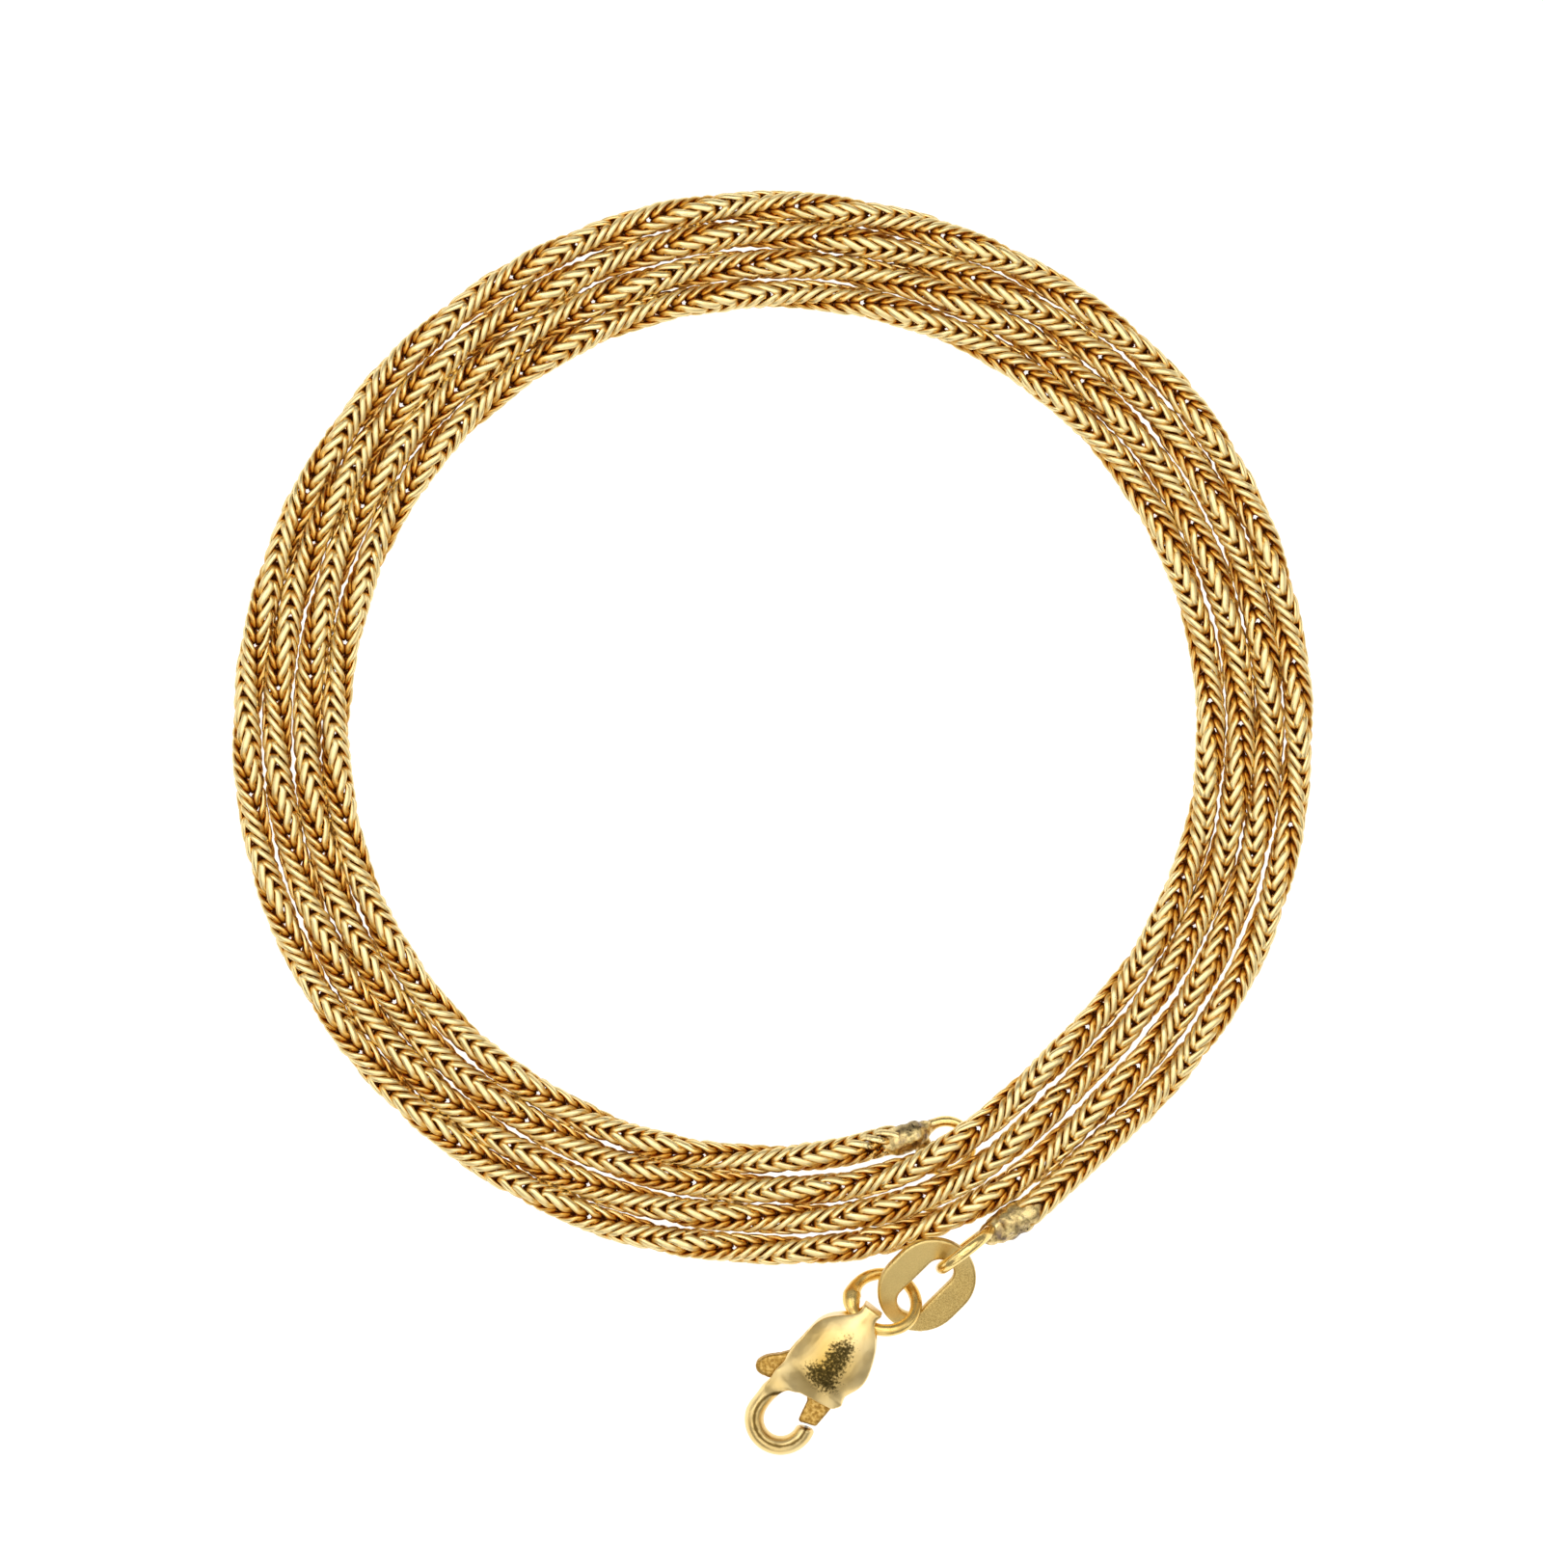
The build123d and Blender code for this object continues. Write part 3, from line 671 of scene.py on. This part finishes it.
def small_object(name, mesh):
    """An object at the origin, its mesh brought from millimetres to metres."""
    mesh.transform(Matrix.Scale(MM, 4))
    for face in mesh.polygons:
        face.use_smooth = True
    mesh.name = name
    obj = bpy.data.objects.new(name, mesh)
    bpy.context.scene.collection.objects.link(obj)
    return obj


print("CAD meshes to melt:", [name for name in sorted(nodes) if name.startswith(("clasp", "oval"))])

# %% [markdown]
# Each end of the chain is closed with a lump of solder that was run into the last links, and a wire ring is
# soldered into the lump. Solder flows, so a few overlapping balls stand for its drops and are melted together
# with the ring. The skin is then raised into lumps by noise, but only on the solder, and it remembers how
# much solder lies at each point, for the material.

# %% Helpers: drops of solder and lumps
from mathutils import noise as noise_field

SOLDER_VOXEL, SOLDER_MELT = 0.045, 14
SOLDER_FADE = 0.5
LEAST_HEIGHT = 0.01


def solder_share(point, drops):
    """1 on the drops of solder, falling to 0 along the wire."""
    gap = min((point - Vector(drop[:3])).length - drop[3] for drop in drops)
    return min(1.0, max(0.0, 1.0 - gap / SOLDER_FADE))


def raise_lumps(mesh, lumps, shares):
    """Moves the skin along its normals by noise of (size, height), times each point's share."""
    normals = [vertex.normal.copy() for vertex in mesh.vertices]
    for vertex, normal, share in zip(mesh.vertices, normals, shares):
        height = sum(high * noise_field.noise(vertex.co / size) for size, high in lumps)
        vertex.co += normal * share * height


def soldered(name, ring, drops, lumps):
    """A ring and drops of solder (x, y, z, radius) as one melted skin with lumps, clear of the floor."""
    work = bmesh.new()
    work.from_mesh(ring)
    for x, y, z, radius in drops:
        centre = Matrix.Translation((x, y, z))
        bmesh.ops.create_icosphere(work, subdivisions=3, radius=radius, matrix=centre)
    work.to_mesh(ring)
    work.free()
    mesh = melted(name, ring, SOLDER_VOXEL, SOLDER_MELT)
    shares = [solder_share(vertex.co, drops) for vertex in mesh.vertices]
    raise_lumps(mesh, lumps, shares)
    for vertex in mesh.vertices:
        vertex.co.z = max(vertex.co.z, LEAST_HEIGHT)
    mesh.attributes.new("solder", "FLOAT", "POINT").data.foreach_set("value", shares)
    print(name, len(mesh.vertices), "points")
    return small_object(name, mesh)


# %% [markdown]
# The inner cap's ring lies flat on the sheet, under the strands that cross it. The outer cap is the longer
# one, and its ring stands on edge, because it passes through the oval link.

# %% The two soldered ends
INNER_DROPS = (
    # x, y, z, radius
    (6.12, -15.90, 0.75, 0.71),
    (5.80, -15.95, 0.75, 0.55),
    (6.60, -15.72, 0.74, 0.72),
    (7.06, -15.52, 0.70, 0.68),
    (7.50, -15.28, 0.47, 0.46),
    (7.38, -15.95, 0.50, 0.44),
)
OUTER_DROPS = (
    (12.74, -19.33, 1.13, 0.70),
    (12.25, -19.58, 1.08, 0.78),
    (11.75, -19.92, 1.06, 0.80),
    (11.25, -20.20, 1.05, 0.72),
    (10.84, -20.46, 1.12, 0.58),
    (12.45, -19.85, 0.98, 0.60),
    (11.85, -20.30, 0.92, 0.52),
    (13.00, -19.16, 1.15, 0.52),
)
INNER_LUMPS = ((0.65, 0.10), (0.22, 0.025))
OUTER_LUMPS = ((0.65, 0.10), (0.25, 0.03))
OUTER_RING_HEADING = 217.9

inner_ring = wire_ring(
    "inner", centre=(8.62, -16.13, 0.275), diameter=3.06, wire=0.55, x_dir=plan(0), z_dir=Vector((0, 0, 1)),
)
outer_ring = wire_ring(
    "outer", centre=(9.56, -21.22, 1.80), diameter=3.60, wire=0.62,
    x_dir=plan(OUTER_RING_HEADING), z_dir=plan(OUTER_RING_HEADING + 90),
)
inner_end = soldered("inner_soldered_ring", inner_ring, INNER_DROPS, INNER_LUMPS)
outer_end = soldered("outer_soldered_ring", outer_ring, OUTER_DROPS, OUTER_LUMPS)
for piece, node in ((inner_end, "inner_end_ring"), (outer_end, "outer_end_ring")):
    low, high = (1000 * np.array(corner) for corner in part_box(node))
    corners = 1000 * np.array([vertex.co for vertex in piece.data.vertices])
    past_low, past_high = low - corners.min(0), corners.max(0) - high
    print(piece.name, "past its CAD box, mm:", past_low.round(3), past_high.round(3))

# %% [markdown]
# Solder is a duller gold alloy. Where it was not polished it keeps a cloudy grey skin with dark grains of
# burnt flux, and in places it is rubbed pale. Noise of four sizes gives the clouds, the haze, the dents and
# the grains. The ring's wire is the same polished gold as the chain, so the skin's own attribute fades the
# solder's colours out along it.

# %% Material of the soldered ends
# Burnt places, each with its centre, half sizes and turn
INNER_BURN = ((6.75, -15.0, 1.0), (0.85, 0.55, 1.0), 20)
OUTER_BURN = ((12.3, -20.2, 0.9), (0.9, 0.45, 1.0), 31)
BURN_STRENGTH, BURN_GREYNESS, GRAINS_ANYWHERE, WIRE_ROUGHNESS = 2.2, 0.55, 0.35, 0.22

# Unpolished solder: cloudy and grey-gold, with rough dark grains
solder_gold, tree_of, shader, place = metal("gold_solder_dull", "#F0CF88", 0.35)
clouds = add_node(tree_of, "ShaderNodeTexNoise", Vector=place, Scale=lump_scale(0.55), Detail=3)
clouds = add_node(
    tree_of, "ShaderNodeValToRGB", clouds,
    stops=[(0.30, "#8F7C68"), (0.45, "#C9B07C"), (0.60, "#EFD79A"), (0.75, "#E0C9A4")],
)
grains = add_node(tree_of, "ShaderNodeTexNoise", Vector=place, Scale=lump_scale(0.10), Detail=3)
grains = add_node(tree_of, "ShaderNodeValToRGB", grains, stops=[(0.36, 1.0), (0.46, 0.0)])
burnt = add_node(
    tree_of, "ShaderNodeMath",
    patch(tree_of, place, *INNER_BURN), patch(tree_of, place, *OUTER_BURN), operation="MAXIMUM",
)
burnt = add_node(tree_of, "ShaderNodeMath", burnt, BURN_STRENGTH, operation="MULTIPLY", use_clamp=True)
grain_share = add_node(tree_of, "ShaderNodeMath", burnt, GRAINS_ANYWHERE, operation="ADD", use_clamp=True)
grains = add_node(tree_of, "ShaderNodeMath", grains, grain_share, operation="MULTIPLY", use_clamp=True)
skin = add_node(tree_of, "ShaderNodeMix", grains, clouds, "#2E241C", data_type="RGBA")
greyed = add_node(tree_of, "ShaderNodeMath", burnt, BURN_GREYNESS, operation="MULTIPLY")
skin = add_node(tree_of, "ShaderNodeMix", greyed, skin, "#5E5248", data_type="RGBA")
on_solder = add_node(tree_of, "ShaderNodeAttribute", attribute_name="solder", out="Fac")
haze = add_node(tree_of, "ShaderNodeTexNoise", Vector=place, Scale=lump_scale(0.3))
haze = add_node(tree_of, "ShaderNodeValToRGB", haze, stops=[(0.35, 0.06), (0.65, 0.26)])
haze = add_node(tree_of, "ShaderNodeMath", haze, on_solder, operation="MULTIPLY")
dents = add_node(tree_of, "ShaderNodeTexNoise", Vector=place, Scale=lump_scale(0.16))
fill(
    tree_of, shader,
    Base_Color=add_node(tree_of, "ShaderNodeMix", on_solder, "#F6D891", skin, data_type="RGBA"),
    Roughness=add_node(tree_of, "ShaderNodeMath", haze, WIRE_ROUGHNESS, operation="ADD"),
    Normal=add_node(tree_of, "ShaderNodeBump", Height=dents, Distance=0.007 * MM, Strength=1.0),
)
for piece, node in ((inner_end, "inner_end_ring"), (outer_end, "outer_end_ring")):
    piece.data.materials.append(solder_gold)
    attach(piece, "necklace")
    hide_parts(node)
print("material:", solder_gold.name)

# %% [markdown]
# The jump ring is a plain round ring of polished wire that leans on the oval link. It was closed with solder,
# which swells the wire to a smooth bulge on its left. A curve's points may each scale its bevel, so the
# bulge is only a larger radius at those points.

# %% The jump ring with its solder bulge
JUMP_HEADING, JUMP_LEAN = -102.4, 33.9
SOLDER_HEADING = 172.0
BULGE_SWELL, BULGE_REACH = 0.58, 19.0


def solder_bulge(angle):
    """How much thicker the wire is, by the angle round the ring from its high side."""
    from_joint = (np.degrees(angle) - (SOLDER_HEADING - JUMP_HEADING) + 180) % 360 - 180
    return 1.0 + BULGE_SWELL * float(np.exp(-((from_joint / BULGE_REACH) ** 2)))


swollen_ring = wire_ring(
    "jump", centre=(5.514, -23.854, 1.206), diameter=3.85, wire=0.60, x_dir=plan(JUMP_HEADING, JUMP_LEAN),
    z_dir=plan(JUMP_HEADING, JUMP_LEAN + 90), swell=solder_bulge,
)
jump_ring = small_object("jump_ring_with_solder", swollen_ring)
print("jump ring:", len(jump_ring.data.vertices), "points")

# %% [markdown]
# The jump ring's wire and solder were polished together, so one metal serves the whole ring. It is the
# chain's gold, but smoother, with a faint haze of fine scratches.

# %% Material of the jump ring
# Polished wire: the clearest reflections of all the pieces
ring_gold, tree_of, shader, place = metal("gold_wire_polished", "#F6D383", 0.2)
haze = add_node(tree_of, "ShaderNodeTexNoise", Vector=place, Scale=lump_scale(0.4), Detail=3)
worn = add_node(tree_of, "ShaderNodeTexNoise", Vector=place, Scale=lump_scale(0.6))
dents = add_node(tree_of, "ShaderNodeTexNoise", Vector=place, Scale=lump_scale(0.25))
fill(
    tree_of, shader,
    Base_Color=add_node(tree_of, "ShaderNodeValToRGB", worn, stops=[(0.35, "#EBC577"), (0.65, "#F8DA90")]),
    Roughness=add_node(tree_of, "ShaderNodeValToRGB", haze, stops=[(0.35, 0.24), (0.7, 0.36)]),
    Normal=add_node(tree_of, "ShaderNodeBump", Height=dents, Distance=0.004 * MM, Strength=1.0),
)
jump_ring.data.materials.append(ring_gold)
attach(jump_ring, "necklace")
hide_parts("jump_ring")
print("material:", ring_gold.name)

# %% [markdown]
# The oval link was cut from sheet, and its edges were broken with a file, so that they catch a thin line of
# light. Its flat face is satin: fine grit left it full of tiny pits. A pit is too small to see as a form, so
# it is bump, and it only breaks the light up into speckles. The real ones are finer than a pixel, and they
# are drawn at 0.06 mm, as coarse as they need to be to show. The edges are real form. A copy of the CAD link
# is melted just enough to round them, and nothing else about it changes.

# %% The oval link and its material
LINK_VOXEL, LINK_MELT = 0.055, 3
PITS_VERSUS_LIGHT_CENTRE, PITS_VERSUS_LIGHT_SIZE = (8.9, -24.1, 1.0), (3.2, 3.2, 3.2)

oval_link = small_object("satin_oval_link", melted("oval", cad_copy("oval_link"), LINK_VOXEL, LINK_MELT))
# Satin sheet: no clear reflection, only a broad soft light broken into speckles
link_gold, tree_of, shader, place = metal("gold_sheet_satin", "#E2C47F", 0.34)
speckle = add_node(tree_of, "ShaderNodeTexNoise", Vector=place, Scale=lump_scale(0.06), Detail=3)
satin = add_node(
    tree_of, "ShaderNodeValToRGB", speckle, stops=[(0.38, "#BFA063"), (0.50, "#D6B874"), (0.62, "#E3C886")],
)
# Partly real, partly painted light: in this patch on the right the satin's speckles show, and away from it,
# on the link's left, they fade into a paler plain gold
pits_versus_painted_light = patch(tree_of, place, PITS_VERSUS_LIGHT_CENTRE, PITS_VERSUS_LIGHT_SIZE)
pits_versus_painted_light = add_node(tree_of, "ShaderNodeValToRGB", pits_versus_painted_light, stops=[(0.1, 0.25), (0.45, 0.95)])
haze = add_node(tree_of, "ShaderNodeTexNoise", Vector=place, Scale=lump_scale(1.2))
fill(
    tree_of, shader,
    Base_Color=add_node(tree_of, "ShaderNodeMix", pits_versus_painted_light, "#E2C888", satin, data_type="RGBA"),
    Roughness=add_node(tree_of, "ShaderNodeValToRGB", haze, stops=[(0.35, 0.28), (0.65, 0.42)]),
    Normal=add_node(tree_of, "ShaderNodeBump", Height=speckle, Distance=0.003 * MM, Strength=1.0),
)
oval_link.data.materials.append(link_gold)
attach(oval_link, "necklace")
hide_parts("oval_link")
print("oval link:", triangle_count(oval_link), "triangles, material:", link_gold.name)

# %% [markdown]
# The lobster clasp is cast, and a casting has no sharp edges: its ridges are soft and its hook flows out of
# its back. The CAD body gives every size, but its faces meet in sharp lines. A copy of it is melted into one
# skin, just as the solder was, together with the rivet, whose heads were filed flush so that no ring shows.
# Four places are evened out further. The trigger is melted by itself, because it swings, and its skin is
# raised into the lumps of a rough mould.

# %% Cast clasp body and trigger
BODY_VOXEL, BODY_MELT = 0.055, 4
TRIGGER_VOXEL, TRIGGER_MELT = 0.05, 5
MOULD_LUMPS = ((0.17, 0.018),)
SOFT_PLACES = (
    # centre, reach, passes: the hook's root, the brow's end, the shoulder by the thumb tab, and the tail
    ((-0.15, -28.20, 1.3), 1.5, 120),
    ((3.45, -28.75, 1.5), 0.9, 60),
    ((0.64, -26.50, 1.6), 1.1, 60),
    ((4.90, -24.20, 1.9), 1.3, 12),
)
THUMB_TAB_END = ((-0.80, -27.00, 1.5), 1.0, 60)
MOST_SHARE, SHARE_RISE = 0.6, 1.5


def soften_near(mesh, centre, reach, passes):
    """Evens out the skin round a place by moving each point towards the middle of its neighbours."""
    places = np.array([vertex.co for vertex in mesh.vertices])
    edges = np.array([edge.vertices for edge in mesh.edges])
    gaps = np.linalg.norm(places - np.array(centre), axis=1)
    share = np.clip(SHARE_RISE * (1 - gaps / reach), 0, MOST_SHARE)[:, None]
    ends = np.concatenate([edges, edges[:, ::-1]])
    count = np.bincount(ends[:, 0], minlength=len(places))[:, None]
    for _ in range(passes):
        sums = [np.bincount(ends[:, 0], places[ends[:, 1], k], len(places)) for k in range(3)]
        places += share * (np.stack(sums, 1) / count - places)
    mesh.vertices.foreach_set("co", places.ravel())
    mesh.update()


body_skin = melted("body", cad_copy("clasp_body", "clasp_rivet"), BODY_VOXEL, BODY_MELT)
for centre, reach, passes in SOFT_PLACES:
    soften_near(body_skin, centre, reach, passes)
cast_body = small_object("cast_clasp_body", body_skin)
trigger_skin = melted("trigger", cad_copy("clasp_trigger"), TRIGGER_VOXEL, TRIGGER_MELT)
soften_near(trigger_skin, *THUMB_TAB_END)
raise_lumps(trigger_skin, MOULD_LUMPS, [1.0] * len(trigger_skin.vertices))
cast_trigger = small_object("cast_trigger", trigger_skin)
for piece in (cast_body, cast_trigger):
    print(piece.name, triangle_count(piece), "triangles")

# %% [markdown]
# On top of the clasp's back lies a dark olive, grainy patch. It is painted, partly as the dark reflection of
# the camera above the dome and partly as tarnish where polish never reaches. Two oval fields in the
# material's own space give its form, one down the back and one along the crease, and a noise of fine grains
# tears them up, so that they thin out at their edges. The gold round them is darkened too, a soft painted
# shade.

# %% Material of the clasp body: painted dark reflection and tarnish
DARK_PATCH_TURN = 60.0
PAINTED_HALO_PLACE = ((2.6, -26.9, 2.0), (2.4, 1.6, 9.0), DARK_PATCH_TURN)
HALO_DARKENING = 1.3
BACK_REFLECTION_AND_TARNISH = ((3.15, -26.70, 2.0), (2.00, 0.95, 9.0), DARK_PATCH_TURN)
CREASE_REFLECTION_AND_TARNISH = ((2.46, -27.50, 2.0), (1.45, 0.90, 9.0), DARK_PATCH_TURN - 100)
FULL_DARK_PATCH, DARK_PATCH_WEIGHT, DOT_WEIGHT, DARK_PATCH_START = 0.62, 1.5, 1.9, 1.32

# Polished casting: soft wide reflections that follow its ridges, and a painted dark patch that takes them
# away
clasp_gold, tree_of, shader, place = metal("gold_cast_polished", "#F3D798", 0.32)
worn = add_node(tree_of, "ShaderNodeTexNoise", Vector=place, Scale=lump_scale(1.6))
worn = add_node(tree_of, "ShaderNodeValToRGB", worn, stops=[(0.35, "#EBCD8C"), (0.65, "#F9E0A6")])
# Painted shade: a soft darker halo round the dark patch
halo = patch(tree_of, place, *PAINTED_HALO_PLACE)
halo = add_node(tree_of, "ShaderNodeMath", halo, HALO_DARKENING, operation="MULTIPLY", use_clamp=True)
gold_with_painted_dark = add_node(tree_of, "ShaderNodeMix", halo, worn, "#C2A25C", data_type="RGBA")
# Painted dark reflection of the camera, partly tarnish: two oval fields, torn up by grains below
reflection_and_tarnish = add_node(
    tree_of, "ShaderNodeMath",
    patch(tree_of, place, *BACK_REFLECTION_AND_TARNISH), patch(tree_of, place, *CREASE_REFLECTION_AND_TARNISH), operation="MAXIMUM",
)
reflection_and_tarnish = add_node(tree_of, "ShaderNodeMath", reflection_and_tarnish, FULL_DARK_PATCH, operation="MINIMUM")
reflection_and_tarnish = add_node(tree_of, "ShaderNodeMath", reflection_and_tarnish, DARK_PATCH_WEIGHT, operation="MULTIPLY")
dots = add_node(tree_of, "ShaderNodeTexNoise", Vector=place, Scale=lump_scale(0.13), Detail=4)
dots = add_node(tree_of, "ShaderNodeMath", dots, DOT_WEIGHT, operation="MULTIPLY")
dark_patch = add_node(tree_of, "ShaderNodeMath", reflection_and_tarnish, dots, operation="ADD")
dark_patch = add_node(tree_of, "ShaderNodeMath", dark_patch, DARK_PATCH_START, operation="SUBTRACT", use_clamp=True)
dark_patch = add_node(tree_of, "ShaderNodeValToRGB", dark_patch, stops=[(0.05, 0.0), (0.45, 0.85), (0.8, 0.97)])
gold_with_painted_dark = add_node(tree_of, "ShaderNodeMix", dark_patch, gold_with_painted_dark, "#443A1D", data_type="RGBA")
print("tarnish:", len(tree_of.nodes), "nodes")

# %% [markdown]
# The hook has a darker line along its middle. A point's distance from the centre of the bend finds it, and
# a noise makes its edges ragged. The haze and the dents of the casting come last.

# %% Material of the clasp body: the hook's line, the haze and the dents
BEND_CENTRE, BEND_RADIUS = (0.38, -29.66), 1.33
RAGGEDNESS, DARK_PATCH_ROUGHNESS = 0.12, 0.2

from_bend = add_node(
    tree_of, "ShaderNodeVectorMath", place, (1 / MM, 1 / MM, 0.0), (-BEND_CENTRE[0], -BEND_CENTRE[1], 0.0),
    operation="MULTIPLY_ADD",
)
from_bend = add_node(tree_of, "ShaderNodeVectorMath", from_bend, operation="LENGTH")
off_line = add_node(tree_of, "ShaderNodeMath", from_bend, BEND_RADIUS, operation="SUBTRACT")
off_line = add_node(tree_of, "ShaderNodeMath", off_line, operation="ABSOLUTE")
ragged = add_node(tree_of, "ShaderNodeTexNoise", Vector=place, Scale=lump_scale(0.3), Detail=3)
ragged = add_node(tree_of, "ShaderNodeMath", ragged, RAGGEDNESS, operation="MULTIPLY")
off_line = add_node(tree_of, "ShaderNodeMath", off_line, ragged, operation="ADD")
line = add_node(tree_of, "ShaderNodeValToRGB", off_line, stops=[(0.10, 0.9), (0.19, 0.0)])
haze = add_node(tree_of, "ShaderNodeTexNoise", Vector=place, Scale=lump_scale(0.8))
haze = add_node(tree_of, "ShaderNodeValToRGB", haze, stops=[(0.35, 0.31), (0.65, 0.40)])
rough_dark_patch = add_node(tree_of, "ShaderNodeMath", dark_patch, DARK_PATCH_ROUGHNESS, operation="MULTIPLY")
dents = add_node(tree_of, "ShaderNodeTexNoise", Vector=place, Scale=lump_scale(0.35))
fill(
    tree_of, shader,
    Base_Color=add_node(tree_of, "ShaderNodeMix", line, gold_with_painted_dark, "#5E4719", data_type="RGBA"),
    Roughness=add_node(tree_of, "ShaderNodeMath", haze, rough_dark_patch, operation="ADD"),
    Normal=add_node(tree_of, "ShaderNodeBump", Height=dents, Distance=0.003 * MM, Strength=1.0),
)
cast_body.data.materials.append(clasp_gold)
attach(cast_body, "necklace")
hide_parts("clasp_body", "clasp_rivet")
print("material:", clasp_gold.name)

# %% [markdown]
# The trigger was left as it came out of the mould, rough and a little brown, because a finger never rubs it
# bright. The lumps are already in its skin, so the material adds only paler spots of about their size and a
# finer grain.

# %% Material of the trigger
# As-cast gold: dull and brownish, with paler spots and no clear reflection
trigger_gold, tree_of, shader, place = metal("gold_as_cast", "#C9A45E", 0.42)
worms = add_node(tree_of, "ShaderNodeTexNoise", Vector=place, Scale=lump_scale(0.16), Detail=3)
skin = add_node(
    tree_of, "ShaderNodeValToRGB", worms, stops=[(0.36, "#A88344"), (0.50, "#BD9852"), (0.64, "#D0AD69")],
)
grain = add_node(tree_of, "ShaderNodeTexNoise", Vector=place, Scale=lump_scale(0.07))
fill(
    tree_of, shader, Base_Color=skin,
    Roughness=add_node(tree_of, "ShaderNodeValToRGB", worms, stops=[(0.4, 0.55), (0.6, 0.42)]),
    Normal=add_node(tree_of, "ShaderNodeBump", Height=grain, Distance=0.008 * MM, Strength=1.0),
)
cast_trigger.data.materials.append(trigger_gold)
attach(cast_trigger, "trigger")
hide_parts("clasp_trigger")
print("material:", trigger_gold.name)

# %% [markdown]
# All the CAD nodes are replaced by the finer pieces above, but each still gets its own metal, so that a view
# of the frame alone looks right too.

# %% The CAD nodes dressed
for name, material in {
    "chain": chain_gold,
    "inner_end_ring": solder_gold,
    "outer_end_ring": solder_gold,
    "oval_link": link_gold,
    "jump_ring": ring_gold,
    "clasp_body": clasp_gold,
    "clasp_trigger": trigger_gold,
    "clasp_rivet": clasp_gold,
}.items():
    nodes[name].data.materials.clear()
    nodes[name].data.materials.append(material)
print("dressed:", sorted(nodes))

# %% [markdown]
# The necklace lies on a white sheet that is lit until it shows no shadow, as product pictures do. The sheet
# glows a little, so that it stays white under the gold as well.

# %% White sheet
SHEET_HALF = 1.5

floor_mesh = bpy.data.meshes.new("floor")
floor_corners = [(SHEET_HALF * x, SHEET_HALF * y, 0) for x, y in ((-1, -1), (1, -1), (1, 1), (-1, 1))]
floor_mesh.from_pydata(floor_corners, [], [(0, 1, 2, 3)])
floor = bpy.data.objects.new("floor", floor_mesh)
bpy.context.scene.collection.objects.link(floor)
floor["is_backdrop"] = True
# Matt card, a little grey, so that what lies on it isn't lit too hard from below
white_sheet = bpy.data.materials.new("white_sheet")
white_sheet.use_nodes = True
fill(
    white_sheet.node_tree, white_sheet.node_tree.nodes["Principled BSDF"],
    Base_Color="#909090", Roughness=0.9, Emission_Color="#FFFFFF", Emission_Strength=0.8,
)
floor_mesh.materials.append(white_sheet)
print("sheet:", 2 * SHEET_HALF, "m square")

# %% [markdown]
# Polished metal shows what stands round it. Four wide softboxes above give the long soft lights on the
# crests, three low ones light the sides, and the gaps between them stay darker, which gives the gold its
# contrast. The world is a dim even white.

# %% Studio light
SOFTBOXES = (
    # name, place and width in metres, power in watts
    ("light_above_left", (-0.32, 0.28, 0.85), 0.70, 2.05),
    ("light_above_back", (0.30, 0.32, 0.85), 0.70, 1.5),
    ("light_above_right", (0.34, -0.26, 0.85), 0.70, 1.05),
    ("light_above_front", (-0.30, -0.32, 0.85), 0.70, 1.2),
    ("light_left", (-0.90, 0.10, 0.50), 0.60, 0.75),
    ("light_right", (0.90, 0.00, 0.50), 0.50, 0.4),
    ("light_front", (-0.05, -0.90, 0.50), 0.60, 0.8),
)
WORLD_LIGHT = 0.285

bpy.context.scene.view_settings.view_transform = "Standard"
bpy.context.scene.view_settings.look = "Medium High Contrast"
world = bpy.data.worlds.new("studio")
bpy.context.scene.world = world
world.use_nodes = True
fill(world.node_tree, world.node_tree.nodes["Background"], Color="#FFFFFF", Strength=WORLD_LIGHT)
for name, place, width, power in SOFTBOXES:
    light_data = bpy.data.lights.new(name, "AREA")
    light_data.size = width
    light_data.energy = power
    light = bpy.data.objects.new(name, light_data)
    light.location = place
    light.rotation_euler = (-Vector(place)).to_track_quat("-Z", "Y").to_euler()
    light.visible_camera = False
    bpy.context.scene.collection.objects.link(light)
print("softboxes:", len(SOFTBOXES))

# %% Last checks and the end
low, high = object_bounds()
print("visual box, mm:", [round(1000 * (b - a), 2) for a, b in zip(low, high)])
